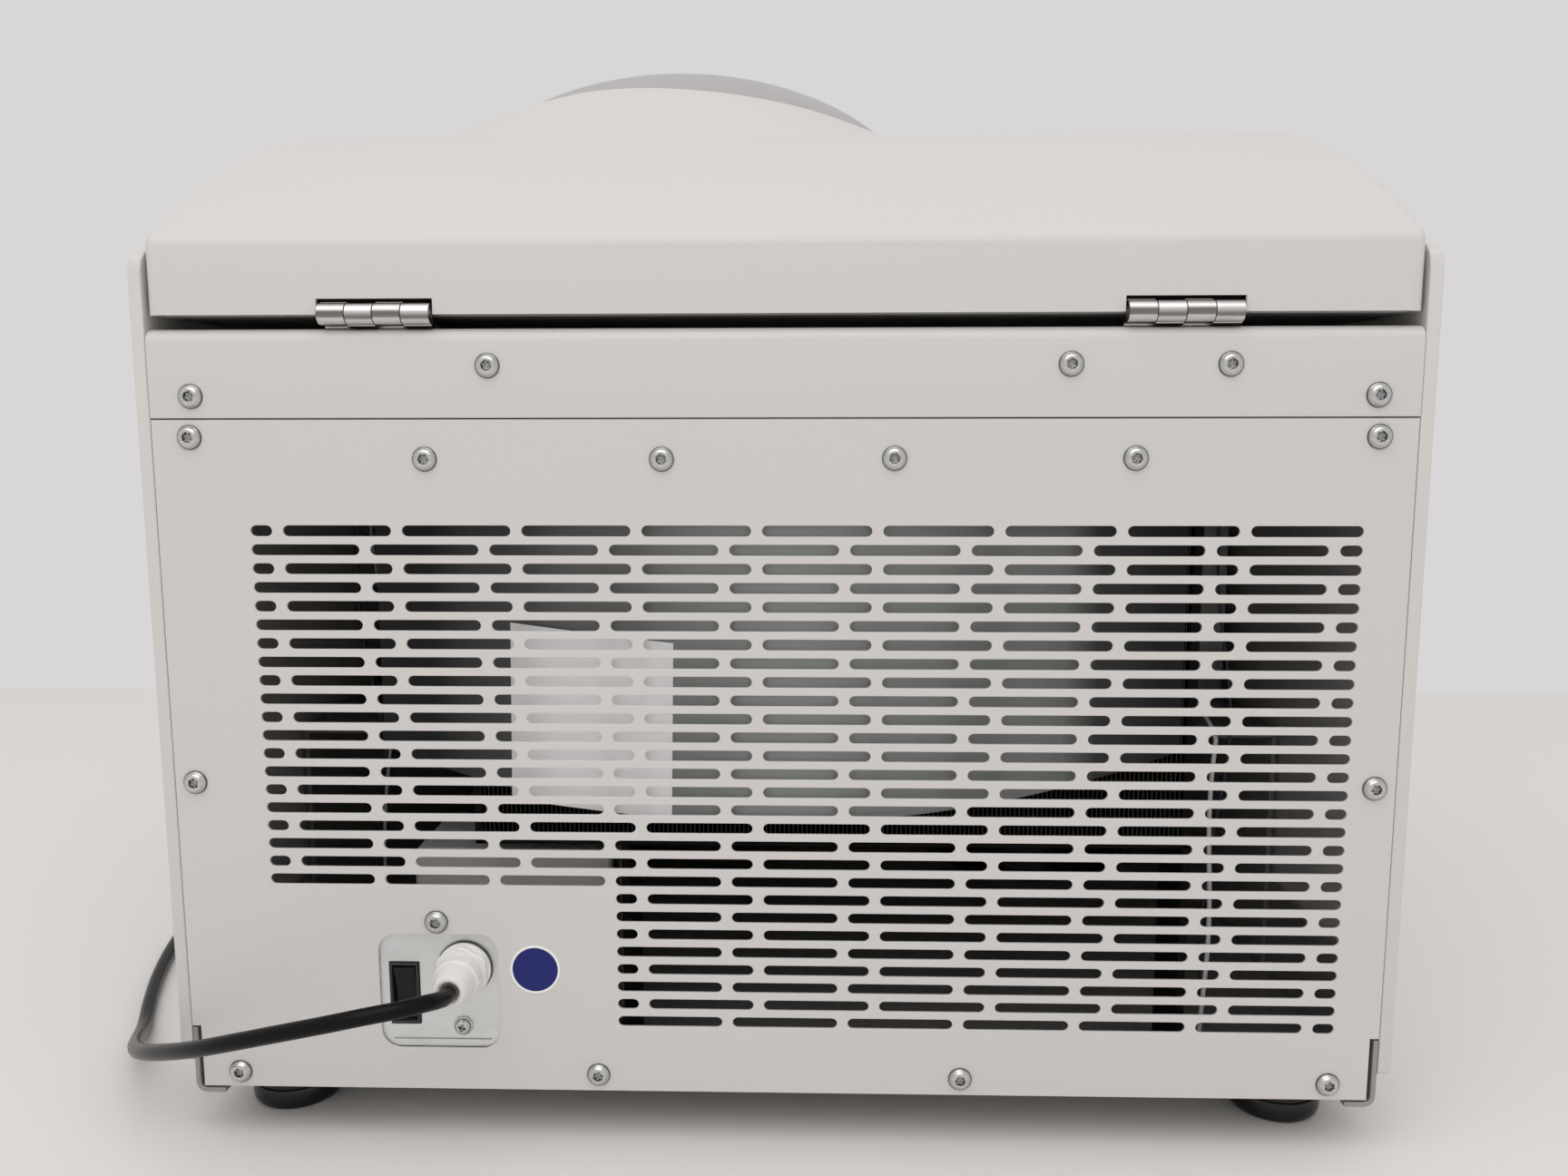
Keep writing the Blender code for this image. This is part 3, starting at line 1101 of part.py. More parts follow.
def cable_gland():
    """Hexagonal gland with a tapered nose, whose mouth holds the cord."""
    base = PLATE_REAR_Y + FIT
    lathe = Matrix.Rotation(-math.pi / 2, 4, "X")
    hexagon = ring_points((GLAND_X, GLAND_Z), GLAND_HEX, 6)
    body = prism("cable_gland", [hexagon], "Y", base, base + GLAND_HEX_DEPTH, GLAND_WHITE)
    profile = [(0, GLAND_REACH), (GLAND_MOUTH, GLAND_REACH), (GLAND_NOSE, GLAND_SHOULDER),
               (GLAND_NOSE, GLAND_HEX_DEPTH / 2), (0, GLAND_HEX_DEPTH / 2)]
    join(body, turned("gland_nose", profile, None, (GLAND_X, base, GLAND_Z), lathe, GLAND_STEPS))


def lid_lock():
    """Wire catch under the lid, and the hook that swings over it, shown let go."""
    catch_y = REAR_Y - LOCK_BACK
    bar_z = DECK_TOP - CATCH_DROP
    top = LID_BOTTOM - FIT
    half = CATCH_WIDTH / 2
    bend = CATCH_BEND
    path = [(-half, top)]
    path += ring_points((-half + bend, bar_z + bend), bend, 5, math.pi, math.pi / 2, False)
    path += ring_points((half - bend, bar_z + bend), bend, 5, -math.pi / 2, math.pi / 2, False)
    path.append((half, top))
    wire = tube("lid_catch_wire", [(LOCK_X + x, catch_y, z) for x, z in path], CATCH_WIRE, 2)
    baked(wire, "lid_catch", BRIGHT_STEEL)
    pivot = Vector((LOCK_X, catch_y + HOOK_PIVOT_BACK, bar_z - HOOK_PIVOT_DROP))
    over = HOOK_PIVOT_DROP + CATCH_WIRE + FIT
    arm = HOOK_ARM
    outline = filleted(
        [(arm, -arm), (arm, over + HOOK_NOSE), (-HOOK_PIVOT_BACK - HOOK_OVER, over + HOOK_NOSE),
         (-HOOK_PIVOT_BACK - HOOK_OVER, over), (-arm, over), (-arm, -arm)],
        [arm, arm, HOOK_NOSE / 3, 0, HOOK_NOSE / 2, arm], 4)
    hook = prism("lock_hook", [outline], "X", -HOOK_WALL / 2, HOOK_WALL / 2, BRIGHT_STEEL)
    let_go = Matrix.Rotation(-HOOK_RELEASE, 4, "X")
    hook.matrix_world = Matrix.Translation(pivot) @ let_go @ hook.matrix_world
    bore = rod("hook_bore", pivot - Vector((HOOK_WALL, 0, 0)), pivot + Vector((HOOK_WALL, 0, 0)),
               HOOK_PIVOT_RADIUS + HOOK_BORE_GAP, None, 16)
    cut(hook, bore)
    inner = HOOK_WALL / 2 + LOCK_CHEEK_GAP
    outer = inner + LOCK_CHEEK
    near, far = pivot.y - HOOK_ARM - LOCK_CHEEK, pivot.y + LOCK_CHEEK_DEPTH
    low, high = pivot.z - LOCK_CHEEK_DEPTH / 2, DECK_BOTTOM - FIT
    frame = block("lock_bracket", (LOCK_X - outer, far, low),
                  (LOCK_X + outer, far + LOCK_CHEEK, high), GREY_STEEL)
    for side in (-1, 1):
        a, b = LOCK_X + side * inner, LOCK_X + side * outer
        join(frame, block(f"lock_cheek_{side}", (min(a, b), near, low),
                          (max(a, b), far + LOCK_CHEEK / 2, high)))
    join(frame, rod("lock_pin", pivot - Vector((outer, 0, 0)), pivot + Vector((outer, 0, 0)),
                    HOOK_PIVOT_RADIUS, None, 16))


def tube(name, points, radius, resolution, finish=None):
    """A closed round tube along points, as a curve object."""
    curve = bpy.data.curves.new(name, "CURVE")
    curve.dimensions = "3D"
    curve.bevel_depth = radius
    curve.bevel_resolution = resolution
    curve.use_fill_caps = True
    spline = curve.splines.new("POLY")
    spline.points.add(len(points) - 1)
    flat = np.ones((len(points), 4))
    flat[:, :3] = points
    spline.points.foreach_set("co", flat.ravel())
    return place_curve(name, curve, finish)


def place_curve(name, curve, finish):
    obj = bpy.data.objects.new(name, curve)
    if finish is None:
        CUTTERS.objects.link(obj)
    else:
        PARTS.objects.link(obj)
        curve.materials.append(finish)
    return obj


def smooth_route(route, step):
    """Points about a step apart on a Catmull-Rom curve through the route, and its length."""
    own = np.array(route)
    own = np.vstack([2 * own[0] - own[1], own, 2 * own[-1] - own[-2]])
    fine = []
    for a, b, c, d in zip(own[:-3], own[1:-2], own[2:-1], own[3:]):
        t = np.linspace(0, 1, 24, endpoint=False)[:, None]
        fine.append(0.5 * (2 * b + (c - a) * t + (2 * a - 5 * b + 4 * c - d) * t ** 2
                           + (3 * b - a - 3 * c + d) * t ** 3))
    fine = np.vstack(fine + [own[-2:-1]])
    along = np.concatenate([[0], np.cumsum(np.linalg.norm(np.diff(fine, axis=0), axis=1))])
    count = max(int(round(along[-1] / step)), 2)
    wanted = np.linspace(0, along[-1], count + 1)
    return np.stack([np.interp(wanted, along, fine[:, k]) for k in range(3)], axis=1), along[-1]


def coil_points():
    """Two layers of loops: in on the lower one, a climb where the spiral turns, out on the upper one."""
    last = np.array(CORD_ROUTE[-1])
    centre = last - np.array([COIL_OUTER, 0, 0])
    turns = 2 * COIL_TURNS + COIL_CLIMB
    t = np.linspace(0, turns, int(round(turns * COIL_POINTS)) + 1)
    inner = COIL_OUTER - COIL_PITCH * COIL_TURNS
    rise = np.clip((t - COIL_TURNS) / COIL_CLIMB, 0, 1)
    radius = np.where(t < COIL_TURNS, COIL_OUTER - COIL_PITCH * t,
                      inner + COIL_PITCH * np.maximum(t - COIL_TURNS - COIL_CLIMB, 0))
    angle = -2 * math.pi * t
    height = COIL_LAYER * (1 - np.cos(math.pi * rise)) / 2
    coil = np.stack([centre[0] + radius * np.cos(angle), centre[1] + radius * np.sin(angle),
                     centre[2] + height], axis=1)
    lead = last + np.array([0, -FIT, 0])
    first = last + np.array([0, -CORD_DIAMETER, 0])
    end = coil[-1]
    tail = np.linspace(0, 1, 5)[1:, None]
    run = end + tail * np.array([0, -COIL_TAIL, 0])
    run[:, 2] += COIL_TAIL_RISE * (1 - np.cos(math.pi * tail[:, 0])) / 2
    stub = run[-1] + np.array([0, -CORD_DIAMETER, 0])
    coil = coil[coil_start(coil, first):]
    return np.vstack([lead, first, coil, run, stub])


def coil_start(coil, first):
    """Index of the first coil point that lies beyond the straight lead."""
    for index, point in enumerate(coil):
        if point[1] < first[1] - CORD_DIAMETER / 2:
            return index
    return 0


def least_gap(points, diameter):
    """Least distance between two stretches of the tube, counted between far-apart points."""
    apart = np.linalg.norm(points[:, None] - points[None], axis=2)
    near = np.abs(np.arange(len(points))[:, None] - np.arange(len(points))[None]) < COIL_POINTS // 3
    apart[near] = np.inf
    return apart.min() - diameter


def cord():
    points, length = smooth_route(CORD_ROUTE, CORD_STEP)
    points = np.insert(points, 1, CORD_ROUTE[1], axis=0)
    radius = CORD_DIAMETER / 2
    tube("mains_cord", points, radius, 2, BLACK_CABLE)
    coil = coil_points()
    tube("cord_coil", coil, radius, 1, BLACK_CABLE)
    coil_length = np.linalg.norm(np.diff(coil, axis=0), axis=1).sum()
    print(f"cord stretch {length:.3f} m, coil {coil_length:.3f} m, least gap in coil "
          f"{least_gap(coil, CORD_DIAMETER) * 1000:.2f} mm")
    tip = coil[-1] + np.array([0, -FIT, 0])
    lathe = Matrix.Rotation(math.pi / 2, 4, "X")
    body_start = PLUG_LENGTH - PLUG_BODY
    profile = [(0, PLUG_LENGTH), (PLUG_SHOULDER, PLUG_LENGTH), (PLUG_RADIUS, PLUG_LENGTH - PLUG_NECK),
               (PLUG_RADIUS, body_start), (PLUG_SHOULDER, body_start - PLUG_NECK), (PLUG_NECK, 0), (0, 0)]
    plug = turned("mains_plug", profile, BLACK_CABLE, tip, lathe, PLUG_STEPS)
    for way in (-1, 1):
        start = Vector(tip) + Vector((way * PLUG_PIN_HALF, -PLUG_LENGTH + PLUG_NECK, 0))
        end = Vector(tip) + Vector((way * PLUG_PIN_HALF, -PLUG_LENGTH - PLUG_PIN_LENGTH, 0))
        join(plug, rod(f"plug_pin_{way}", start, end, PLUG_PIN_RADIUS, None, 12))


def hang(names, axis_name, origin):
    """Hangs pieces that turn together on an empty on their joint's axis, where they are."""
    axis = place(axis_name, None, None, origin)
    for name in names:
        piece = bpy.data.objects[name]
        piece.parent = axis
        piece.matrix_parent_inverse = axis.matrix_world.inverted()


def build():
    base_tray()
    feet()
    cheeks()
    rear_panel()
    rear_strip()
    deck_plate()
    front_cover()
    console_panel()
    display_window()
    console_buttons()
    setting_knob()
    lid_shell()
    lid_dome()
    lid_grip()
    lid_liner()
    lid_seal()
    hinge(1, "right")
    hinge(-1, "left")
    chamber()
    bridge_plate()
    drive_motor()
    rotor()
    for index in range(BUCKETS):
        bucket(index)
    condenser()
    fan()
    compressor()
    mains_filter()
    drive_electronics()
    mains_recess()
    cable_gland()
    lid_lock()
    cord()
    hang(["lid_dome", "lid_grip", "lid_liner", "lid_seal", "lid_leaf_right",
          "lid_leaf_left", "lid_catch"], "lid_axis", (0, HINGE_Y, HINGE_Z))
    hang(["drive_shaft", "rotor_body", "rotor_nut"], "rotor_axis", (CHAMBER_X, CHAMBER_Y, PIVOT_Z))


clear_scene()
PARTS = make_collection("benchtop_centrifuge")
CUTTERS = make_collection("cutters")
WARM_WHITE = material("warm_white_powder_coat", (0.640, 0.610, 0.590), 0.45)
SOFT_GREY = material("soft_grey_coat", (0.50, 0.49, 0.48), 0.45)
GREY_STEEL = material("grey_steel", (0.22, 0.21, 0.20), 0.5, 0.6)
BLACK_RUBBER = material("black_rubber", (0.012, 0.012, 0.012), 0.55)
DARK_WINDOW = material("dark_window", (0.01, 0.012, 0.015), 0.15)
GREEN_PLASTIC = material("green_plastic", (0.05, 0.32, 0.12), 0.4)
RED_PLASTIC = material("red_plastic", (0.5, 0.03, 0.03), 0.4)
PALE_PLASTIC = material("pale_plastic", (0.62, 0.62, 0.60), 0.4)
DOME_GREY = material("dome_grey", (0.50, 0.49, 0.48), 0.4)
BRIGHT_STEEL = material("bright_steel", (0.60, 0.60, 0.60), 0.3, 1.0)
DARK_STEEL = material("dark_steel", (0.10, 0.10, 0.11), 0.45, 0.7)
BUCKET_STEEL = material("bucket_steel", (0.45, 0.46, 0.48), 0.35, 1.0)
FOAM = material("insulation_foam", (0.03, 0.03, 0.03), 0.9)
FIN_GREY = material("fin_grey", (0.20, 0.21, 0.20), 0.5, 0.5)
BLACK_PLASTIC = material("black_plastic", (0.015, 0.015, 0.015), 0.45)
BLACK_PAINT = material("black_paint", (0.02, 0.02, 0.02), 0.35)
ALUMINIUM = material("aluminium", (0.55, 0.56, 0.57), 0.4, 1.0)
GLAND_WHITE = material("gland_white", (0.75, 0.72, 0.66), 0.35)
BLACK_CABLE = material("black_cable", (0.03, 0.03, 0.033), 0.4)
build()
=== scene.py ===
# %% [markdown]
# # A benchtop centrifuge, seen from behind
#
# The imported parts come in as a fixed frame, in metres, with +Z up and the slotted rear panel facing
# +Y. They could be rendered as they are, but folded sheet, rubber and turned parts need finer edges
# and finishes than a plain solid carries. So most pieces here are surfaces worked out with numpy,
# which stand in for the solid of the same name and ride on the same body: the lid, the rotor and the
# buckets still move as the joints say.

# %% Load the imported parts
import json
import math

import bmesh
import bpy
import numpy as np
from mathutils import Matrix, Vector


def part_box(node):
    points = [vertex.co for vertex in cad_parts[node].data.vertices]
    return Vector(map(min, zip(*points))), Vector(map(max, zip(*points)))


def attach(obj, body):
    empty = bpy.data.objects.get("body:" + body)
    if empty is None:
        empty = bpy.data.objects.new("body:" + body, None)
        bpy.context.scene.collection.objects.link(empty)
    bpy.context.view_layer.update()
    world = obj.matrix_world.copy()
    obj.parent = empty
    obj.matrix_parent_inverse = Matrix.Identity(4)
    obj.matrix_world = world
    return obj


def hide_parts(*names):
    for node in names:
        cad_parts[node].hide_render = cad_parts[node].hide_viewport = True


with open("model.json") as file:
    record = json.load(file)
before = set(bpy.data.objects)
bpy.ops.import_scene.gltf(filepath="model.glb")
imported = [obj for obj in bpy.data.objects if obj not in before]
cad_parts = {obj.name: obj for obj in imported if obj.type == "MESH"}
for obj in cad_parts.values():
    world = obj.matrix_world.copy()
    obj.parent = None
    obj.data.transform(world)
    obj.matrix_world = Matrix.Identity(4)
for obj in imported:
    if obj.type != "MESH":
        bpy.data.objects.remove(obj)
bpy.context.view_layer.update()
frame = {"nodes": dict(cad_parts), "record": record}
bodies = frame["record"]["behaviour"]["bodies"]
BODY_OF = {node: body for body, nodes in bodies.items() for node in nodes}
SLOT_OF = {row["node"]: row["material_slot"] for row in frame["record"]["subparts"]}

# %% [markdown]
# ## Camera
#
# The picture was taken from a little above the middle of the rear panel, less than a metre away. A
# camera can be aimed at a point, but here the grid of slots gives its place, its turn and its focal
# length, so they are set outright, as three directions and a place.

# %% Camera behind the instrument
CAMERA_PLACE = (-0.0184, 0.8831, 0.3473)
CAMERA_RIGHT = (-0.99964, -0.02691, -0.00153)
CAMERA_UP = (0.00209, -0.13410, 0.99097)
CAMERA_BACK = (-0.02687, 0.99060, 0.13411)
FOCAL_LENGTH = 28.6
SENSOR_WIDTH = 36.0
lens = bpy.data.cameras.new("rear_view")
lens.lens = FOCAL_LENGTH
lens.sensor_width = SENSOR_WIDTH
camera = bpy.data.objects.new("rear_view", lens)
columns = Matrix((CAMERA_RIGHT, CAMERA_UP, CAMERA_BACK)).transposed().to_4x4()
camera.matrix_world = Matrix.Translation(CAMERA_PLACE) @ columns
bpy.context.scene.collection.objects.link(camera)
bpy.context.scene.camera = camera
bpy.context.scene.view_settings.view_transform = "Standard"
print("camera at", CAMERA_PLACE, "with a lens of", FOCAL_LENGTH, "mm")

# %% [markdown]
# ## Surfaces from grids of points
#
# A grid of points, with one parameter along its rows and one along its columns, becomes a surface
# when each four neighbours make a quad. Closing the columns gives a tube, and closing the rows as
# well gives a ring. Points that fall together, as at the pole of a turned shape, are merged, so the
# shell is closed and its normals can be turned outwards.

# %% Quads of a grid
WELD = 1e-6
SHARP = math.radians(34)


def grid_faces(rows, columns, close_rows=False, close_columns=False):
    """Corner numbers of the quads: each point with the next one along both parameters."""
    i, j = np.meshgrid(np.arange(rows if close_rows else rows - 1),
                       np.arange(columns if close_columns else columns - 1), indexing="ij")
    ahead, right = (i + 1) % rows, (j + 1) % columns
    corners = [i * columns + j, ahead * columns + j, ahead * columns + right, i * columns + right]
    return np.stack(corners, axis=-1).reshape(-1, 4)


def grid_rim(rows, columns):
    """Point numbers round the rim of a grid, as one closed walk."""
    last = (rows - 1) * columns
    return np.concatenate([np.arange(columns), np.arange(1, rows) * columns + columns - 1,
                           last + np.arange(columns - 2, -1, -1), np.arange(rows - 2, 0, -1) * columns])


def skin(name, points, faces, sharp=SHARP, outward=True):
    """A mesh object: points merged where they meet, faces outwards, smooth below the sharp angle."""
    mesh = bpy.data.meshes.new(name)
    mesh.from_pydata(np.reshape(points, (-1, 3)).tolist(), [], [list(map(int, f)) for f in faces])
    work = bmesh.new()
    work.from_mesh(mesh)
    bmesh.ops.remove_doubles(work, verts=work.verts, dist=WELD)
    if outward:
        bmesh.ops.recalc_face_normals(work, faces=work.faces)
    work.to_mesh(mesh)
    work.free()
    mesh.shade_smooth()
    mesh.set_sharp_from_angle(angle=sharp)
    piece = bpy.data.objects.new(name, mesh)
    bpy.context.scene.collection.objects.link(piece)
    return piece


print("edges sharper than", round(math.degrees(SHARP)), "degrees stay sharp")

# %% [markdown]
# ## Edges
#
# No real edge is perfectly sharp: it catches a thin line of light. A Bevel modifier rounds every edge
# above an angle and stays live, so the points underneath stay few. Where a shape is cut afterwards,
# its modifiers are worked out at once and the result becomes the mesh.


# %% Rounded edges and finished meshes
def applied(piece, sharp=SHARP):
    """The piece's mesh after its modifiers, put in place of the first mesh."""
    bpy.context.view_layer.update()
    graph = bpy.context.evaluated_depsgraph_get()
    mesh = bpy.data.meshes.new_from_object(piece.evaluated_get(graph))
    piece.modifiers.clear()
    piece.data = mesh
    mesh.shade_smooth()
    mesh.set_sharp_from_angle(angle=sharp)
    return piece


def softened_edges(piece, width, segments=3, angle=30):
    """Rounds each edge whose faces meet at more than the angle, by a width, in so many segments."""
    edge = piece.modifiers.new("edges", "BEVEL")
    edge.width = width
    edge.segments = segments
    edge.limit_method = "ANGLE"
    edge.angle_limit = math.radians(angle)
    edge.use_clamp_overlap = True
    edge.harden_normals = True
    return piece


# %% [markdown]
# ## Outlines
#
# Most sections of this instrument are polygons with rounded corners. Typing points along an arc by
# hand is slow and never quite round, so two functions work them out: one for an arc, and one that
# replaces each corner of a polygon by an arc that touches both of its sides.


# %% Arcs and rounded corners
def ring(centre, radius, count, start=0.0, sweep=2 * math.pi, closed=True):
    """Points on an arc: centre + radius (cos a, sin a)."""
    angle = start + sweep * np.arange(count) / (count if closed else count - 1)
    return np.stack([centre[0] + radius * np.cos(angle), centre[1] + radius * np.sin(angle)], axis=1)


def rounded(points, radii, count=8):
    """A polygon whose corners become arcs: each starts and ends radius / tan(half angle) away."""
    out, total = [], len(points)
    for i, radius in enumerate(radii):
        here = np.array(points[i], dtype=float)
        if radius <= 0:
            out.append(here[None])
            continue
        back = np.array(points[i - 1]) - here
        ahead = np.array(points[(i + 1) % total]) - here
        back, ahead = back / np.linalg.norm(back), ahead / np.linalg.norm(ahead)
        half = math.acos(np.clip(back @ ahead, -1, 1)) / 2
        middle = back + ahead
        centre = here + middle / np.linalg.norm(middle) * radius / math.sin(half)
        first = here + back * radius / math.tan(half) - centre
        last = here + ahead * radius / math.tan(half) - centre
        start = math.atan2(first[1], first[0])
        sweep = (math.atan2(last[1], last[0]) - start + math.pi) % (2 * math.pi) - math.pi
        out.append(ring(centre, radius, count, start, sweep, closed=False))
    return np.vstack(out)


def rectangle(low, high):
    """The corners of a rectangle, from its low corner round to the one above it."""
    return [tuple(low), (high[0], low[1]), tuple(high), (low[0], high[1])]


# %% [markdown]
# ## Turned shapes, bars, tubes and boxes
#
# A lathe makes a knob by cutting one profile all the way round, and a press brake makes a strip by
# bending one section along its whole length. Both are easy to compute: a turned shape is a profile
# times the cosine and sine of an angle, and a bar is an outline at two heights. Three small matrices
# say which way the axis points.

# %% Turned shapes and straight bars
UPRIGHT = np.eye(3)
REARWARD = np.array([[1, 0, 0], [0, 0, 1], [0, -1, 0]])
FORWARD = np.array([[1, 0, 0], [0, 0, -1], [0, 1, 0]])
SIDEWAYS = np.array([[0, 0, 1], [1, 0, 0], [0, 1, 0]])


def turned_points(profile, centre, turn=UPRIGHT, steps=96, factor=None):
    """A profile of (radius, height) taken round an axis: (r cos a, r sin a, h), then turned."""
    profile = np.array(profile, dtype=float)
    angle = 2 * math.pi * np.arange(steps) / steps
    radius = profile[:, :1] * (np.ones((1, steps)) if factor is None else factor)
    height = np.repeat(profile[:, 1:], steps, axis=1)
    points = np.stack([radius * np.cos(angle), radius * np.sin(angle), height], axis=-1)
    return points @ turn.T + np.array(centre)


def turned(name, profile, centre, turn=UPRIGHT, steps=96, factor=None, sharp=SHARP):
    """A closed turned shape; a profile that stays off the axis closes on itself as a ring."""
    hollow = profile[0][0] > 0
    points = turned_points(profile, centre, turn, steps, factor)
    return skin(name, points, grid_faces(len(profile), steps, hollow, True), sharp)


def bar(name, outline, low, high, turn=UPRIGHT, centre=(0, 0, 0), sharp=SHARP):
    """An outline pulled straight from low to high, with both ends closed."""
    outline = np.array(outline)
    count = len(outline)
    points = np.vstack([np.column_stack([outline, np.full(count, h)]) for h in (low, high)])
    faces = [list(f) for f in grid_faces(2, count, False, True)]
    faces += [list(range(count)), list(range(count, 2 * count))]
    return skin(name, points @ turn.T + np.array(centre), faces, sharp)


# %% Tubes, boxes and pairs of grids
BOX_SIGNS = np.array([[x, y, z] for x in (-1, 1) for y in (-1, 1) for z in (-1, 1)])
BOX_QUADS = np.array([[0, 1, 3, 2], [4, 6, 7, 5], [0, 4, 5, 1],
                      [2, 3, 7, 6], [0, 2, 6, 4], [1, 5, 7, 3]])


def tube_points(path, radius, sides, across):
    """Rings round a flat path: each stands square to it, on the path's own plane normal."""
    path = np.array(path)
    along = np.gradient(path, axis=0)
    along /= np.linalg.norm(along, axis=1, keepdims=True)
    across = np.array(across, dtype=float)
    side = np.cross(along, across)
    side /= np.linalg.norm(side, axis=1, keepdims=True)
    angle = (2 * math.pi * np.arange(sides) / sides)[None, :, None]
    return path[:, None] + radius * (np.cos(angle) * side[:, None] + np.sin(angle) * across)


def tube_faces(rings, sides):
    """The quads round a tube and a cap on each of its ends."""
    quads = [list(face) for face in grid_faces(rings, sides, False, True)]
    return quads + [list(range(sides)), list(range((rings - 1) * sides, rings * sides))]


def boxes(name, centres, halves):
    """Many boxes in one mesh: each centre plus or minus its half sizes, worked out together."""
    centres = np.array(centres)
    points = centres[:, None] + BOX_SIGNS[None] * np.broadcast_to(halves, centres.shape)[:, None]
    faces = (BOX_QUADS[None] + 8 * np.arange(len(centres))[:, None, None]).reshape(-1, 4)
    return skin(name, points, faces)


def closed_pair(name, upper, lower, sharp=SHARP):
    """Two grids of the same size, face to face, joined round their rims into one closed body."""
    rows, columns = upper.shape[:2]
    rim = grid_rim(rows, columns)
    below = rows * columns
    quads = grid_faces(rows, columns)
    band = np.stack([rim, np.roll(rim, -1), np.roll(rim, -1) + below, rim + below], axis=1)
    points = np.vstack([upper.reshape(-1, 3), lower.reshape(-1, 3)])
    return skin(name, points, np.vstack([quads, quads[:, ::-1] + below, band]), sharp)


# %% [markdown]
# ## Pieces and their bodies
#
# Every new piece has to ride on one of the imported bodies, or it would stay behind when the lid opens.
# A piece that stands for a imported node also hides that node.


# %% Riding and replacing
def stands_for(piece, *nodes):
    """The piece rides where its nodes ride and replaces them."""
    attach(piece, BODY_OF[nodes[0]])
    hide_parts(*nodes)
    return piece


def sits_on(piece, body):
    """A small piece that no node stands for: it rides on a body."""
    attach(piece, body)
    return piece


# %% [markdown]
# ## Mains cord
#
# The cord leaves the gland, bends to the side at once, sinks to the table beside the case and runs
# on along it. The rest of its length, which the picture doesn't show, lies in a flat coil of two
# layers beside the front of the case, and the plug lies next to it. One open spline carries the
# whole length, so the measured length is the real one. Its points carry the cord's radius, because
# the box that Blender gives a curve grows by its points' radius. The stretch is a Catmull-Rom curve
# through the chosen points: each piece is a cubic that passes its two inner points and takes its
# slope from the outer two.

# %% Stretch beside the case
CORD_DIAMETER = 0.0078
CORD_STEP = 0.007
CUBIC_STEPS = 24
CORD_ROUTE = [
    (0.1505, 0.3466, 0.0865), (0.1510, 0.3546, 0.0878), (0.1546, 0.3655, 0.0912),
    (0.1633, 0.3745, 0.0925), (0.1764, 0.3794, 0.0918), (0.1960, 0.3798, 0.0876),
    (0.2190, 0.3768, 0.0815), (0.2429, 0.3700, 0.0736), (0.2620, 0.3600, 0.0655),
    (0.2816, 0.3455, 0.0562), (0.3010, 0.3280, 0.0462), (0.3200, 0.3060, 0.0350),
    (0.3370, 0.2800, 0.0236), (0.3520, 0.2520, 0.0124), (0.3655, 0.2210, 0.0052),
    (0.3800, 0.1880, 0.0041), (0.3930, 0.1540, 0.0041), (0.4040, 0.1180, 0.0041),
    (0.4125, 0.0800, 0.0041), (0.4185, 0.0420, 0.0041), (0.4210, 0.0060, 0.0041),
    (0.4215, -0.0300, 0.0041), (0.4215, -0.0600, 0.0041),
]


def smooth_stretch(route, step):
    """Catmull-Rom cubics through the route's points, then cut into even steps along their length."""
    own = np.array(route)
    own = np.vstack([2 * own[0] - own[1], own, 2 * own[-1] - own[-2]])
    t = np.linspace(0, 1, CUBIC_STEPS, endpoint=False)[:, None]
    a, b, c, d = (own[i:len(own) - 3 + i, None] for i in range(4))
    square, cube = (2 * a - 5 * b + 4 * c - d) * t ** 2, (3 * b - a - 3 * c + d) * t ** 3
    fine = 0.5 * (2 * b + (c - a) * t + square + cube)
    fine = np.vstack([fine.reshape(-1, 3), own[-2]])
    along = np.concatenate([[0], np.cumsum(np.linalg.norm(np.diff(fine, axis=0), axis=1))])
    wanted = np.linspace(0, along[-1], int(along[-1] / step) + 1)
    return np.stack([np.interp(wanted, along, fine[:, k]) for k in range(3)], axis=1)


stretch = smooth_stretch(CORD_ROUTE, CORD_STEP)
print(len(stretch), "points beside the case")

# %% Coil of two layers
COIL_OUTER = 0.060
COIL_PITCH = 0.0095
COIL_TURNS = 2.75
COIL_CLIMB = 0.5
COIL_LAYER = 0.0094
COIL_POINTS = 36
COIL_TAIL = 0.026
COIL_TAIL_RISE = 0.0051
TAIL_POINTS = 6
JOIN_DROP = CORD_DIAMETER * 1.5


def coil(last):
    """Radius falls by a pitch a turn, climbs to the second layer on a half cosine, and grows again."""
    centre = last - np.array([COIL_OUTER, 0, 0])
    turns = 2 * COIL_TURNS + COIL_CLIMB
    t = np.linspace(0, turns, int(round(turns * COIL_POINTS)) + 1)
    inner = COIL_OUTER - COIL_PITCH * COIL_TURNS
    radius = np.where(t < COIL_TURNS, COIL_OUTER - COIL_PITCH * t,
                      inner + COIL_PITCH * np.maximum(t - COIL_TURNS - COIL_CLIMB, 0))
    rise = COIL_LAYER * (1 - np.cos(math.pi * np.clip((t - COIL_TURNS) / COIL_CLIMB, 0, 1))) / 2
    angle = -2 * math.pi * t
    loops = centre + np.stack([radius * np.cos(angle), radius * np.sin(angle), rise], axis=1)
    share = np.linspace(0, 1, TAIL_POINTS + 1)[1:]
    lift = COIL_TAIL_RISE * (1 - np.cos(math.pi * share)) / 2
    tail = loops[-1] + np.stack([0 * share, -COIL_TAIL * share, lift], axis=1)
    return loops, tail


loops, tail = coil(stretch[-1])
first_loop = int(np.argmax(loops[:, 1] < stretch[-1, 1] - JOIN_DROP))
stub = tail[-1] + np.array([0, -CORD_DIAMETER, 0])
cord_line = np.vstack([stretch, loops[first_loop:], tail, stub])
print("coil of", 2 * COIL_TURNS + COIL_CLIMB, "turns")

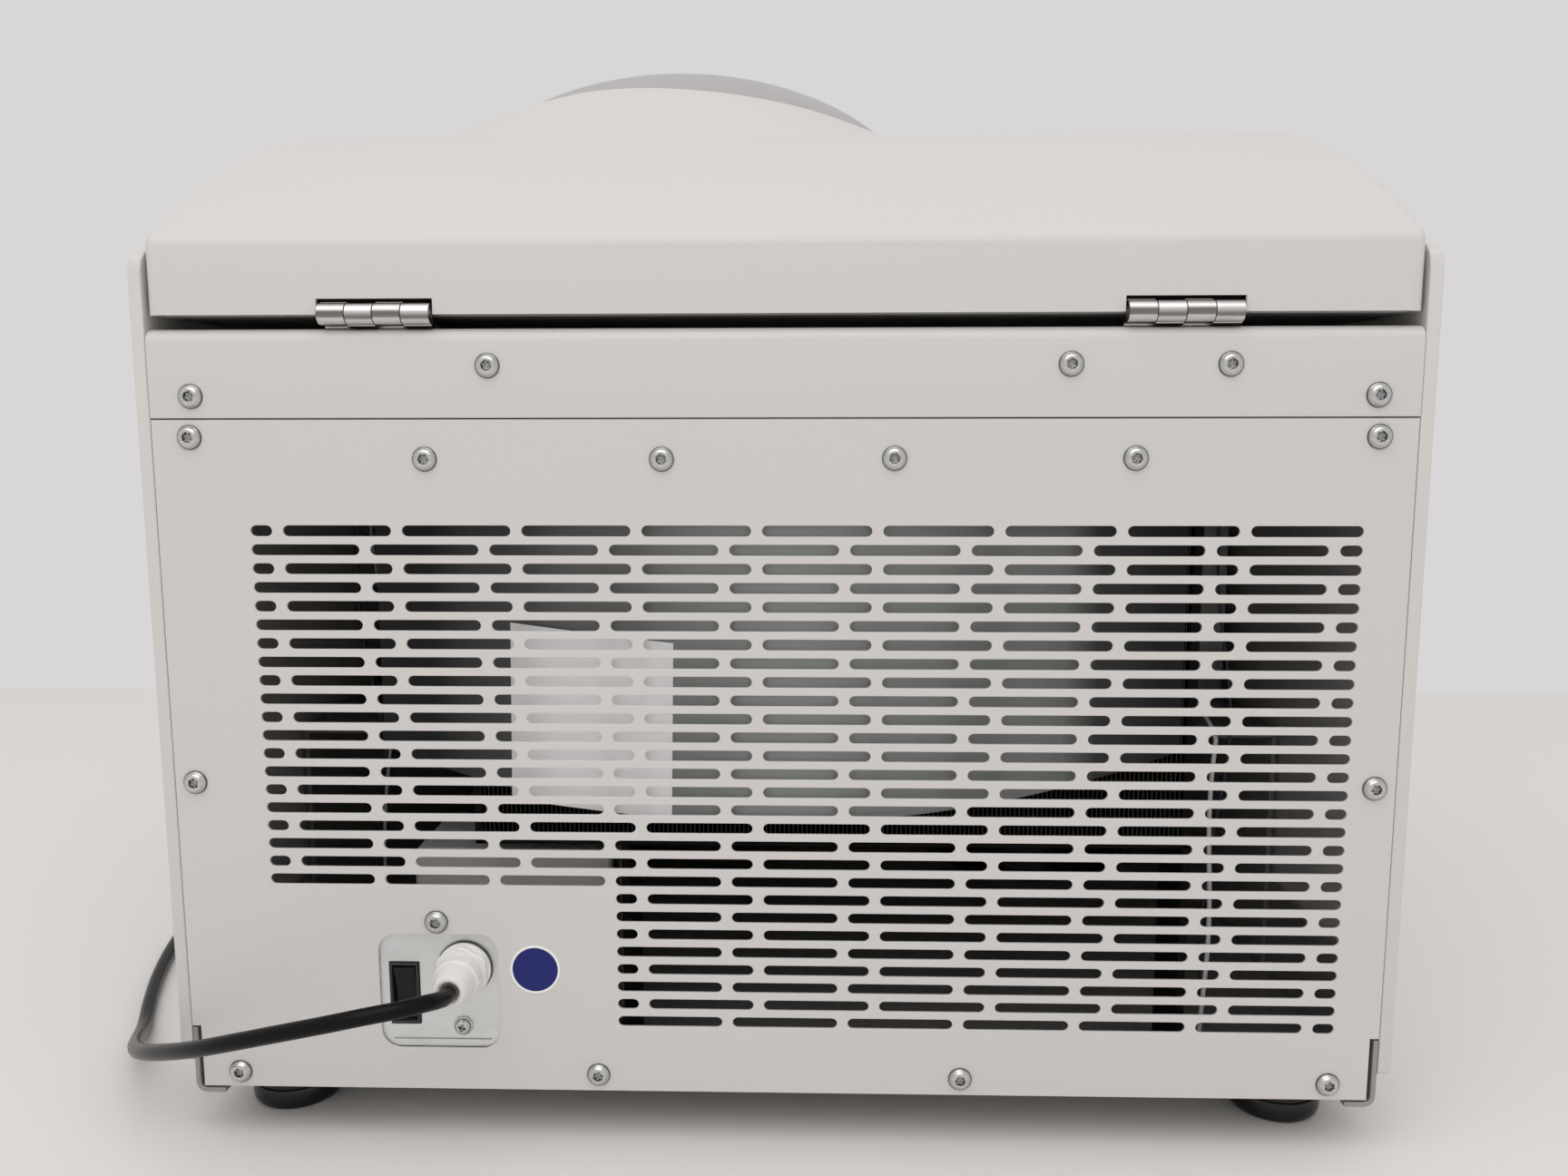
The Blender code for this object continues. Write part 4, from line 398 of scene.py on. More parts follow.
# %% One spline for the whole cord
cord_curve = bpy.data.curves.new("power_cord", "CURVE")
cord_curve.dimensions = "3D"
cord_curve.bevel_depth = 1.0
cord_curve.bevel_resolution = 4
cord_curve.use_fill_caps = True
spline = cord_curve.splines.new("POLY")
spline.points.add(len(cord_line) - 1)
spline.points.foreach_set("co", np.column_stack([cord_line, np.ones(len(cord_line))]).ravel())
spline.points.foreach_set("radius", np.full(len(cord_line), CORD_DIAMETER / 2))
spline.use_smooth = True
power_cord = bpy.data.objects.new("power_cord", cord_curve)
bpy.context.scene.collection.objects.link(power_cord)
stands_for(power_cord, "mains_cord", "cord_coil")

# %% [markdown]
# ## Plug and tie
#
# The plug is a moulded rubber body with a waist for the fingers, ribs on its neck and two pins. All of
# it is round, so one profile turned about the cord's end gives the body and another the pins. A thin
# hook-and-loop tie keeps the coil together: it is a rounded band, swept a few degrees round the
# coil's middle, with an outer and an inner face.

# %% Plug
PLUG_FRONT = 0.056
NECK_RIBS = 7
NECK_RADIUS, NECK_GROOVE = 0.0062, 0.0007
NECK_START, NECK_PITCH = 0.0005, 0.0022
PIN_STEPS = 24
PIN_APART = 0.019
plug_low, plug_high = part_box("mains_plug")
plug_centre = ((plug_low[0] + plug_high[0]) / 2, plug_high[1], (plug_low[2] + plug_high[2]) / 2)
neck = [(NECK_RADIUS - NECK_GROOVE * (i % 2), NECK_START + NECK_PITCH * i) for i in range(NECK_RIBS)]
body_profile = [(0.0, 0.0), (0.0045, 0.0)] + neck + [(0.0095, 0.0172), (0.0150, 0.0215)]
body_profile += [tuple(p) for p in ring((0.0160, 0.0260), 0.0020, 6, math.pi, -math.pi / 2, False)]
body_profile += [(0.0172, 0.0300), (0.0168, 0.0340), (0.0170, 0.0385), (0.0178, 0.0430)]
body_profile += [tuple(p) for p in ring((0.0162, 0.0542), 0.0018, 6, 0, math.pi / 2, False)]
body_profile += [(0.0, PLUG_FRONT)]
plug_body = turned("plug_body", body_profile, plug_centre, FORWARD, 96, None, math.radians(50))
pin_profile = [(0.0, 0.050), (0.0024, 0.050), (0.0024, 0.0735), (0.0020, 0.0747), (0.0, 0.0750)]
pin_places = [np.array(plug_centre) + np.array([way * PIN_APART / 2, 0, 0]) for way in (-1, 1)]
pins = np.stack([turned_points(pin_profile, place, FORWARD, PIN_STEPS) for place in pin_places])
pin_quads = grid_faces(len(pin_profile), PIN_STEPS, False, True)
pin_faces = np.vstack([pin_quads + i * len(pin_profile) * PIN_STEPS for i in range(2)])
plug_pins = skin("plug_pins", pins, pin_faces)
stands_for(plug_body, "mains_plug")
sits_on(plug_pins, "case")
print("plug at", [round(v, 3) for v in plug_centre])

# %% Tie round the coil
TIE_FROM, TIE_TO, TIE_RINGS = 196, 208, 7
TIE_FACES = (((0.0285, 0.00005), (0.0650, 0.0182), 0.003), ((0.0287, 0.00020), (0.0648, 0.0180), 0.0028))
tie_middle = (stretch[-1] - np.array([COIL_OUTER, 0, 0])) * np.array([1, 1, 0])
tie_angle = np.radians(np.linspace(TIE_FROM, TIE_TO, TIE_RINGS))
tie_out = np.stack([np.cos(tie_angle), np.sin(tie_angle), 0 * tie_angle], axis=1)


def tie_face(low, high, corner):
    """A rounded rectangle at each angle: its width points away from the coil's middle."""
    around = rounded(rectangle(low, high), [corner] * 4, 6)[None]
    return tie_middle + around[..., :1] * tie_out[:, None] + around[..., 1:] * np.array([0, 0, 1])


tie_outer, tie_inner = (tie_face(*face) for face in TIE_FACES)
tie_rows = np.concatenate([tie_outer, tie_inner[::-1]])
cord_tie = skin("cord_tie", tie_rows, grid_faces(*tie_rows.shape[:2], True, True))
sits_on(cord_tie, "case")
print("tie across", TIE_TO - TIE_FROM, "degrees of the coil")

# %% [markdown]
# ## Finishes as Python expressions
#
# A material is a tree of nodes. Drawn by hand it soon becomes a tangle, and written call by call it
# takes a line for every link. Here a node's output is wrapped in a small class whose operators add
# Math nodes, so that a finish reads like the formula that it is: rough + 0.1 * noise.


# %% Arithmetic on node sockets
class Value:
    """A node's output, or a number, in sums and products: each operator adds one Math node."""

    def __init__(self, finish, link):
        self.finish, self.link = finish, link

    def maths(self, operation, *parts):
        node = self.finish.node("ShaderNodeMath", {"operation": operation}, dict(enumerate(parts)))
        return node[0]

    def __add__(self, other):
        return self.maths("ADD", self, other)

    def __sub__(self, other):
        return self.maths("SUBTRACT", self, other)

    def __rsub__(self, other):
        return self.maths("SUBTRACT", other, self)

    def __mul__(self, other):
        return self.maths("MULTIPLY", self, other)

    def __truediv__(self, other):
        return self.maths("DIVIDE", self, other)

    def __rtruediv__(self, other):
        return self.maths("DIVIDE", other, self)

    def __pow__(self, other):
        return self.maths("POWER", self, other)

    def __gt__(self, other):
        return self.maths("GREATER_THAN", self, other)

    def __lt__(self, other):
        return self.maths("LESS_THAN", self, other)

    __radd__ = __add__
    __rmul__ = __mul__


class Outputs:
    """A node whose outputs are asked for by name or number."""

    def __init__(self, finish, made):
        self.finish, self.made = finish, made

    def __getitem__(self, key):
        return Value(self.finish, self.made.outputs[key])


# %% A material in the making
class Finish:
    """A material in the making: its tree, its shader and the ways to add nodes."""

    def __init__(self, name, **constants):
        self.material = bpy.data.materials.new(name)
        self.material.use_nodes = True
        self.tree = self.material.node_tree
        self.shader = self.tree.nodes["Principled BSDF"]
        names = {socket.name.lower().replace(" ", "_"): socket for socket in self.shader.inputs}
        for key, value in constants.items():
            names[key].default_value = value

    def feed(self, socket, value):
        """Links a node's output to the socket, or sets the socket to a plain number or colour."""
        if isinstance(value, Value):
            self.tree.links.new(value.link, socket)
        else:
            socket.default_value = value

    def node(self, kind, settings=None, sockets=None):
        """Any node: its type, its settings and what goes into its sockets."""
        made = self.tree.nodes.new(kind)
        for key, value in (settings or {}).items():
            setattr(made, key, value)
        for key, value in (sockets or {}).items():
            self.feed(made.inputs[key], value)
        return Outputs(self, made)

    def place(self):
        """The point on the piece, in metres of the shared frame."""
        return self.node("ShaderNodeTexCoord")["Object"]

    def axes(self):
        """The same point as its three numbers."""
        parts = self.node("ShaderNodeSeparateXYZ", None, {"Vector": self.place()})
        return parts["X"], parts["Y"], parts["Z"]

    def stretched(self, scale, turn=(0, 0, 0), shift=(0, 0, 0)):
        """The point scaled, turned and shifted, so that a pattern on it is squeezed or slanted."""
        sockets = {"Vector": self.place(), "Scale": scale, "Rotation": turn, "Location": shift}
        return self.node("ShaderNodeMapping", None, sockets)["Vector"]

    def noise(self, scale, detail=2.0, vector=None, roughness=0.5):
        """Soft random values around 0.5; a larger scale makes finer grain."""
        sockets = {"Scale": scale, "Detail": detail, "Roughness": roughness,
                   "Vector": vector or self.place()}
        return self.node("ShaderNodeTexNoise", None, sockets)["Fac"]

    def ramp(self, value, low, high):
        """Goes from 0 to 1 while the value goes from low to high."""
        sockets = {"Value": value, "From Min": low, "From Max": high}
        return self.node("ShaderNodeMapRange", None, sockets)["Result"]

    def colours(self, factor, first, second):
        """The first colour where the factor is 0 and the second where it is 1."""
        sockets = {0: factor, 6: first, 7: second}
        return self.node("ShaderNodeMix", {"data_type": "RGBA"}, sockets)[2]

    def bump(self, height, distance, strength=1.0):
        """Tilts the shading as if the surface rose by the height times the distance."""
        sockets = {"Height": height, "Distance": distance, "Strength": strength}
        self.feed(self.shader.inputs["Normal"], self.node("ShaderNodeBump", None, sockets)["Normal"])

    def paint(self, colour=None, roughness=None, metallic=None):
        """Feeds the shader and hands over the finished material."""
        pairs = {"Base Color": colour, "Roughness": roughness, "Metallic": metallic}
        for key, value in pairs.items():
            if value is not None:
                self.feed(self.shader.inputs[key], value)
        return self.material


def tone(colour, factor):
    """A colour made lighter or darker, as four numbers."""
    return tuple(min(channel * factor, 1.0) for channel in colour[:3]) + (1.0,)


# %% [markdown]
# ## Floor, backdrop and light
#
# The instrument stands on a pale table in front of a pale wall. One large plane is both: beyond the
# table's far edge a camera ray finds the wall's own plain colour, so no horizon shows. The light is
# soft: an even pale sky and one large lamp above the rear.

# %% Table and wall
TABLE_EDGE_Y = -0.69
FLOOR_HALF = 6.0
FLOOR_POINTS = 5
TABLE_COLOUR = (0.80, 0.775, 0.755, 1.0)
WALL_COLOUR = (0.687, 0.673, 0.680, 1.0)
floor = Finish("pale_table", roughness=0.7, specular_ior_level=0.2)
beyond = floor.axes()[1] < TABLE_EDGE_Y
seen = floor.node("ShaderNodeLightPath")["Is Camera Ray"]
floor.paint(TABLE_COLOUR)
nodes, links = floor.tree.nodes, floor.tree.links
glow = nodes.new("ShaderNodeEmission")
glow.inputs["Color"].default_value = WALL_COLOUR
mix = nodes.new("ShaderNodeMixShader")
links.new((beyond * seen).link, mix.inputs[0])
links.new(floor.shader.outputs[0], mix.inputs[1])
links.new(glow.outputs[0], mix.inputs[2])
links.new(mix.outputs[0], nodes["Material Output"].inputs["Surface"])
side = np.linspace(-FLOOR_HALF, FLOOR_HALF, FLOOR_POINTS)
plane = np.stack(np.meshgrid(side, side, [0.0], indexing="ij"), axis=-1)
table_quads = grid_faces(FLOOR_POINTS, FLOOR_POINTS)[:, ::-1]
table_top = skin("table_top", plane, table_quads, SHARP, False)
table_top.data.materials.append(floor.material)
print("table of", 2 * FLOOR_HALF, "m, wall beyond y =", TABLE_EDGE_Y)

# %% [markdown]
# ## Sky and lamp
#
# A room with white walls lights everything from all sides. An even sky does the same and costs the
# renderer little. Camera, glossy and transmission rays find the wall's colour instead of the sky's,
# so that metal and glass mirror the same background that the picture shows.

# %% Sky and lamp
LAMP_SIZE = 2.4
LAMP_POWER = 16.0
LAMP_PLACE = (0.15, 1.30, 1.90)
LAMP_AIM = (0.0, 0.4, 0.0)
SKY_LIGHT = (0.745, 0.735, 0.725, 1.0)
sky = bpy.data.worlds.new("pale_room")
bpy.context.scene.world = sky
sky.use_nodes = True
nodes, links = sky.node_tree.nodes, sky.node_tree.links
rays = nodes.new("ShaderNodeLightPath")
shows_wall = rays.outputs["Is Camera Ray"]
for kind in ("Is Glossy Ray", "Is Transmission Ray"):
    either = nodes.new("ShaderNodeMath")
    either.operation = "ADD"
    either.use_clamp = True
    links.new(shows_wall, either.inputs[0])
    links.new(rays.outputs[kind], either.inputs[1])
    shows_wall = either.outputs[0]
shade = nodes.new("ShaderNodeMix")
shade.data_type = "RGBA"
shade.inputs[6].default_value = SKY_LIGHT
shade.inputs[7].default_value = WALL_COLOUR
links.new(shows_wall, shade.inputs[0])
links.new(shade.outputs[2], nodes["Background"].inputs["Color"])
lamp = bpy.data.lights.new("soft_lamp", "AREA")
lamp.shape = "DISK"
lamp.size = LAMP_SIZE
lamp.energy = LAMP_POWER
lamp_object = bpy.data.objects.new("soft_lamp", lamp)
lamp_turn = (Vector(LAMP_PLACE) - Vector(LAMP_AIM)).to_track_quat("Z", "Y").to_matrix().to_4x4()
lamp_object.matrix_world = Matrix.Translation(LAMP_PLACE) @ lamp_turn
bpy.context.scene.collection.objects.link(lamp_object)
print("lamp of", LAMP_POWER, "W at", LAMP_PLACE)

# %% [markdown]
# ## Powder coat and plastics
#
# Powder coat is a fused paint: from near it shows a fine orange-peel ripple of about a millimetre,
# a slightly uneven gloss and hardly any change of colour. A photograph of paint would repeat on a
# large panel; noise never does. The same recipe, with a finer or coarser grain, gives moulded plastic
# and rubber.

# %% Coats, plastics and rubber
BROAD_SCALE, GLOSS_SCALE = 5.0, 26.0
FLECK_SCALE, FLECK_SHARE = 2.2, 0.3
GLOSS_SPREAD = 0.16
LACQUER_ROUGHNESS = 0.12
DUST_COLOUR = (0.30, 0.28, 0.26, 1.0)
DUST_HEIGHT = 0.012


def coat(name, colour, rough=0.42, grain=750.0, depth=0.00005, drift=0.03, specular=0.45, metallic=0.0,
         clear=0.0):
    """Noise of two sizes: a fine one lifts the surface, a broad one drifts colour and gloss."""
    finish = Finish(name, specular_ior_level=specular, metallic=metallic, coat_weight=clear,
                    coat_roughness=LACQUER_ROUGHNESS)
    broad = finish.noise(BROAD_SCALE, 3.0)
    fleck = finish.noise(grain * FLECK_SCALE, 1.0)
    patches = broad * (1 - FLECK_SHARE) + fleck * FLECK_SHARE
    mixed = finish.colours(patches, tone(colour, 1 - drift), tone(colour, 1 + drift))
    finish.bump(finish.noise(grain), depth)
    gloss = finish.noise(GLOSS_SCALE, 3.0)
    return finish.paint(mixed, rough - GLOSS_SPREAD / 2 + GLOSS_SPREAD * gloss)


def rubber(name, colour=(0.012, 0.012, 0.013), rough=0.42, dust=0.16):
    """Black rubber with a fine grain and a little pale dust near the table."""
    finish = Finish(name, specular_ior_level=0.5)
    low = 1 - finish.ramp(finish.axes()[2], 0.0, DUST_HEIGHT)
    speck = finish.ramp(finish.noise(900.0, 4.0), 0.52, 0.75)
    mixed = finish.colours(speck * (low * dust + 0.05), tone(colour, 1.0), DUST_COLOUR)
    finish.bump(finish.noise(1600.0), 0.00004)
    return finish.paint(mixed, rough + 0.14 * finish.noise(60.0, 3.0))


def foam_cells(name):
    """Closed-cell foam: small rounded cells that catch the light at their rims."""
    finish = Finish(name, specular_ior_level=0.3)
    where = {"Vector": finish.place(), "Scale": 620.0}
    cells = finish.node("ShaderNodeTexVoronoi", None, where)["Distance"]
    mixed = finish.colours(cells, (0.018, 0.018, 0.019, 1.0), (0.055, 0.054, 0.053, 1.0))
    finish.bump(cells, 0.0005)
    return finish.paint(mixed, 0.82 + 0.12 * finish.noise(40.0))


# %% [markdown]
# ## Metals
#
# Galvanised steel shows a patchwork of zinc crystals, rolled steel fine lines along one way, and a
# spun bowl lines around its axis. An image could carry them, but it would need its own layout on each
# piece. Noise needs none: squeezed across the grain and stretched along it, it turns into lines.


# %% Zinc, drawn and spun metal
def zinc(name, colour=(0.74, 0.76, 0.76)):
    """Crystals: Voronoi cells of a few millimetres, each with its own shade and gloss."""
    finish = Finish(name, metallic=1.0)
    where = {"Vector": finish.place(), "Scale": 150.0, "Randomness": 1.0}
    cell = finish.node("ShaderNodeTexVoronoi", None, where)
    shade = finish.node("ShaderNodeSeparateColor", None, {"Color": cell["Color"]})["Red"]
    frost = finish.noise(420.0, 4.0)
    mixed = finish.colours(shade * 0.6 + frost * 0.4, tone(colour, 0.92), tone(colour, 1.08))
    finish.bump(frost, 0.00004)
    return finish.paint(mixed, 0.34 + 0.16 * shade + 0.08 * frost)


def drawn_metal(name, colour, rough=0.3, grain=(60.0, 60.0, 3000.0), depth=0.00002, drift=0.08):
    """Fine lines along one axis: noise whose scale is large across them and small along them."""
    finish = Finish(name, metallic=1.0)
    lines = finish.noise(1.0, 3.0, finish.stretched(grain))
    mixed = finish.colours(lines, tone(colour, 1 - drift), tone(colour, 1 + drift))
    finish.bump(lines, depth)
    return finish.paint(mixed, rough - 0.06 + 0.14 * lines + 0.06 * finish.noise(18.0))


def spun_metal(name, colour, centre, rough=0.26, pitch=1400.0, depth=0.00002):
    """Lines round an upright axis: noise of the distance from it, sqrt(x^2 + y^2), and of height."""
    finish = Finish(name, metallic=1.0)
    x, y, z = finish.axes()
    away = ((x - centre[0]) ** 2 + (y - centre[1]) ** 2) ** 0.5
    where = finish.node("ShaderNodeCombineXYZ", None, {"X": away * pitch, "Z": z * pitch})[0]
    lines = finish.noise(1.0, 2.0, where)
    mixed = finish.colours(lines, tone(colour, 0.9), tone(colour, 1.08))
    finish.bump(lines, depth)
    return finish.paint(mixed, rough - 0.05 + 0.12 * lines + 0.08 * finish.noise(14.0, 3.0))


# %% [markdown]
# ## Screws and hinge knuckles
#
# A screw's recess and the edge of its head lie in shade that a render of a small head hardly shows.
# The mesh carries each point's distance from the screw's axis as an attribute, and the finish darkens
# by it. Hinge knuckles are polished by wear and mirror a dark band of the room. This scene's room is
# pale all round, so the finish carries the band by its height, and the shade in the gap by a ring.


# %% Plated screws and rolled knuckles
SHADE = (0.03, 0.03, 0.03, 1.0)


def plated(name, colour=(0.62, 0.62, 0.61)):
    """Zinc plating with painted shade where the attribute reach, a share of the head, is near 1 or near
    0.
    """
    finish = Finish(name, metallic=1.0)
    drift = finish.noise(180.0)
    warm = tone((colour[0] * 1.05, colour[1], colour[2] * 0.92), 1.0)
    cool = tone((colour[0] * 0.93, colour[1], colour[2] * 1.06), 1.0)
    reach = finish.node("ShaderNodeAttribute", {"attribute_name": "reach"})["Fac"]
    # Painted shade at the rim of the head and in its recess.
    edge = finish.ramp(reach, 0.86, 0.95) * 0.8
    recess = (1 - finish.ramp(reach, 0.34, 0.44)) * finish.ramp(reach, 0.0, 0.12) * 0.55
    finish.bump(finish.noise(2600.0, 3.0), 0.00001)
    mixed = finish.colours(edge + recess, finish.colours(drift, warm, cool), SHADE)
    return finish.paint(mixed, 0.20 + 0.18 * finish.noise(700.0, 3.0))


def rolled_knuckles(name, axis, radius, low, high):
    """A painted dark reflection between two heights, as shares of the radius, and painted shade outside
    the radius.
    """
    finish = Finish(name, metallic=1.0)
    _, y, z = finish.axes()
    away = ((y - axis[0]) ** 2 + (z - axis[1]) ** 2) ** 0.5
    height = (z - axis[1]) / radius
    band = finish.ramp(height, low, low + 0.15) * (1 - finish.ramp(height, high, high + 0.3))
    # Painted shade in the gap round the knuckle.
    shade = finish.ramp(away, radius + 0.0002, radius + 0.0005)
    shade = shade * (1 - finish.ramp(away, radius + 0.0022, radius + 0.0030))
    lines = finish.noise(1.0, 3.0, finish.stretched((60.0, 1500.0, 1500.0)))
    metal = finish.colours(lines, (0.60, 0.58, 0.57, 1.0), (0.72, 0.70, 0.69, 1.0))
    # Painted reflection of a dark band of the room.
    metal = finish.colours(band * 0.8, metal, (0.13, 0.11, 0.105, 1.0))
    finish.bump(lines, 0.00001)
    return finish.paint(finish.colours(shade, metal, (0.008, 0.007, 0.007, 1.0)), 0.22 + 0.14 * lines)


# %% [markdown]
# ## Glass and disc
#
# The display's window is nearly black glass with a faint haze of wiping. The disc beside the recess
# is blue with a pale rim: one finish paints both colours by the distance from its middle, so that no
# image is needed.


# %% Window glass and disc
def window_glass(name):
    """Dark glossy window: nearly black, with a broad faint haze of wiping."""
    finish = Finish(name, specular_ior_level=0.55, coat_weight=0.4, coat_roughness=0.03)
    haze = finish.noise(30.0, 4.0)
    mixed = finish.colours(haze, (0.008, 0.010, 0.013, 1.0), (0.014, 0.016, 0.020, 1.0))
    finish.bump(finish.noise(3000.0), 0.000004)
    return finish.paint(mixed, 0.06 + 0.10 * haze)


def print_disc(name, centre, rim):
    """A blue disc with a pale rim: the distance from its middle says which colour shows."""
    finish = Finish(name, specular_ior_level=0.3)
    x, _, z = finish.axes()
    away = ((x - centre[0]) ** 2 + (z - centre[1]) ** 2) ** 0.5
    grain = finish.noise(1500.0, 2.0)
    blue = finish.colours(grain, (0.008, 0.013, 0.135, 1.0), (0.012, 0.019, 0.165, 1.0))
    finish.bump(grain, 0.00001)
    return finish.paint(finish.colours(away > rim, blue, (0.90, 0.90, 0.90, 1.0)), 0.34 + 0.1 * grain)


# %% [markdown]
# ## One finish for each slot
#
# Every piece of the record names a material slot. A dictionary from slot to finish dresses most
# pieces without another word, and a piece that differs, such as a screw, is given its own.

# %% Finishes by slot
CHAMBER = (0.075, -0.022)
FINISH = {
    "warm_white": coat("warm_white_coat", (0.655, 0.634, 0.617), 0.44, 800.0, 0.00005, 0.018),
    "soft_grey": coat("soft_grey_coat", (0.46, 0.45, 0.44), 0.42, 800.0, 0.00005, 0.02),
    "liner_grey": coat("liner_plastic", (0.48, 0.47, 0.46), 0.5, 1100.0, 0.00006, 0.02),
    "dome_grey": coat("dome_plastic", (0.40, 0.39, 0.385), 0.34, 1000.0, 0.00003, 0.015),
    "grey_steel": coat("grey_steel_coat", (0.32, 0.315, 0.31), 0.4, 700.0, 0.00005, 0.05, 0.5, 0.3),
    "plate_zinc": zinc("galvanised_plate"),
    "bright_steel": drawn_metal("rolled_steel", (0.60, 0.60, 0.60), 0.3, (2400.0, 90.0, 90.0)),
    "filter_case": coat("filter_case_metal", (0.93, 0.92, 0.91), 0.35, 900.0, 0.00002, 0.03, 0.5, 0.2),
    "dark_steel": coat("dark_satin_coat", (0.055, 0.056, 0.06), 0.42, 1300.0, 0.00004, 0.08, 0.5, 0.55),
    "bucket_metal": drawn_metal("anodised_metal", (0.44, 0.45, 0.47), 0.34, (50.0, 50.0, 2600.0)),
    "foam": foam_cells("insulation_foam"),
    "black_rubber": rubber("black_rubber"),
    "dark_window": window_glass("display_glass"),
    "green_plastic": coat("green_button", (0.045, 0.28, 0.10), 0.38, 1400.0, 0.00003, 0.04),
    "red_plastic": coat("red_button", (0.46, 0.028, 0.026), 0.38, 1400.0, 0.00003, 0.04),
    "pale_plastic": coat("pale_plastic", (0.60, 0.60, 0.58), 0.38, 1400.0, 0.00003, 0.02),
    # The fins' metal is darkened nearly to black: painted shade of the inside of the case.
    "condenser_fins": drawn_metal("fin_metal", (0.085, 0.089, 0.086), 0.5, (60.0, 60.0, 900.0), 0.00003,
                                  0.2),
    "black_plastic": coat("black_plastic", (0.017, 0.017, 0.018), 0.36, 1500.0, 0.00004, 0.1),
    "black_paint": coat("gloss_black", (0.014, 0.014, 0.015), 0.3, 500.0, 0.00004, 0.1, 0.5, 0.0, 0.6),
    "heat_sink": drawn_metal("extruded_metal", (0.50, 0.51, 0.52), 0.36, (1800.0, 1800.0, 40.0)),
    "gland_white": coat("gland_plastic", (0.80, 0.785, 0.765), 0.3, 1600.0, 0.00002, 0.02, 0.5),
    "black_cable": coat("cable_sheath", (0.0050, 0.0048, 0.0055), 0.26, 900.0, 0.00002, 0.1, 0.13),
}
SPUN_STEEL = spun_metal("spun_bowl_steel", (0.60, 0.60, 0.60), CHAMBER)
SCREW_ZINC = plated("plated_screws")
print(len(FINISH), "finishes")


def finished(piece, finish):
    """The piece with this finish and no other."""
    piece.data.materials.clear()
    piece.data.materials.append(finish)
    return piece


def new_part(piece, *nodes, finish=None):
    """A new piece for some nodes, with their slot's finish unless another is named."""
    return finished(stands_for(piece, *nodes), finish or FINISH[SLOT_OF[nodes[0]]])


def new_trim(piece, body, slot, finish=None):
    """A new piece of its own, with its slot's finish unless another is named."""
    return finished(sits_on(piece, body), finish or FINISH[slot])


for piece, slot in ((power_cord, "black_cable"), (plug_body, "black_cable"), (cord_tie, "black_rubber")):
    finished(piece, FINISH[slot])
finished(plug_pins, SCREW_ZINC)

# %% [markdown]
# ## Rear panel
#
# The panel is a flat sheet with 256 stamped slots in 28 rows. Odd rows are shifted, so that each web
# of metal lies over the middle of a slot. The short bottom rows leave room for the mains recess. A
# flat filled curve is the best way to a sheet with many round-ended holes, because Blender closes
# the metal between them and can give each edge its small punched radius.

# %% Places and outlines of the slots
SLOT_WIDTH = 0.005
SLOT_LONG = 0.050
SLOT_SHORT = 0.010
SLOT_WEB = 0.005
ROW_PITCH = 0.00875
ROWS_WIDE = 20
ROWS_NARROW = 8
COUNT_WIDE = 9
COUNT_NARROW = 6
FIRST_ROW_DROP = 0.0505
SLOT_SHIFT = 0.0107
RECESS = (0.16305, 0.07475)
RECESS_SIZE = 0.0575
RECESS_CORNER = 0.009
NOTCH = (0.0042, 0.0310)
SLOT_ARC = 7
PUNCH_EDGE = 0.00035
FLAT_SHARP = math.radians(12)
panel_low, panel_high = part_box("rear_panel")


def slot_places(top):
    """Middle and length of each slot, row by row; even rows begin with a short slot."""
    pitch = SLOT_LONG + SLOT_WEB
    left = (COUNT_WIDE * pitch + SLOT_SHORT) / 2 - SLOT_SHIFT
    found = []
    for row in range(ROWS_WIDE + ROWS_NARROW):
        skipped = 0 if row < ROWS_WIDE else COUNT_WIDE - COUNT_NARROW
        numbers = np.arange(skipped, COUNT_WIDE)
        if row % 2 == 0:
            short = left - skipped * pitch - SLOT_SHORT / 2
            first = left - SLOT_SHORT - SLOT_WEB - SLOT_LONG / 2
        else:
            short = left - COUNT_WIDE * pitch - SLOT_SHORT / 2
            first = left - SLOT_LONG / 2
        z = top - FIRST_ROW_DROP - row * ROW_PITCH
        found.append((short, z, SLOT_SHORT))
        found += [(x, z, SLOT_LONG) for x in first - numbers * pitch]
    return found


def stadium(x, z, length):
    """A slot's outline: two half circles joined by straight sides."""
    straight, half = (length - SLOT_WIDTH) / 2, SLOT_WIDTH / 2
    right = ring((x + straight, z), half, SLOT_ARC, -math.pi / 2, math.pi, False)
    left = ring((x - straight, z), half, SLOT_ARC, math.pi / 2, math.pi, False)
    return np.vstack([right, left])


slots = slot_places(panel_high[2])
print(len(slots), "slots in", ROWS_WIDE + ROWS_NARROW, "rows")


# %% A sheet with holes
def sheet(name, loops, y_back, y_face, edge):
    """A flat filled curve, the first loop its outline and the rest holes, stood upright facing +Y."""
    curve = bpy.data.curves.new(name, "CURVE")
    curve.dimensions = "2D"
    curve.fill_mode = "BOTH"
    curve.extrude = (y_face - y_back) / 2 - edge
    curve.bevel_depth = edge
    curve.bevel_resolution = 1
    curve.offset = -edge
    for loop in loops:
        row = curve.splines.new("POLY")
        row.points.add(len(loop) - 1)
        row.points.foreach_set("co", np.column_stack([loop, 0 * loop[:, 0], 0 * loop[:, 0] + 1]).ravel())
        row.use_cyclic_u = True
    flat = bpy.data.objects.new(name, curve)
    bpy.context.scene.collection.objects.link(flat)
    bpy.context.view_layer.update()
    made = bpy.data.meshes.new_from_object(flat.evaluated_get(bpy.context.evaluated_depsgraph_get()))
    bpy.data.objects.remove(flat, do_unlink=True)
    places = np.empty(3 * len(made.vertices))
    made.vertices.foreach_get("co", places)
    x, z, y = places.reshape(-1, 3).T
    faces = [list(face.vertices) for face in made.polygons]
    points = np.stack([x, y + (y_back + y_face) / 2, z], axis=1)
    bpy.data.meshes.remove(made)
    return skin(name, points, faces, FLAT_SHARP)


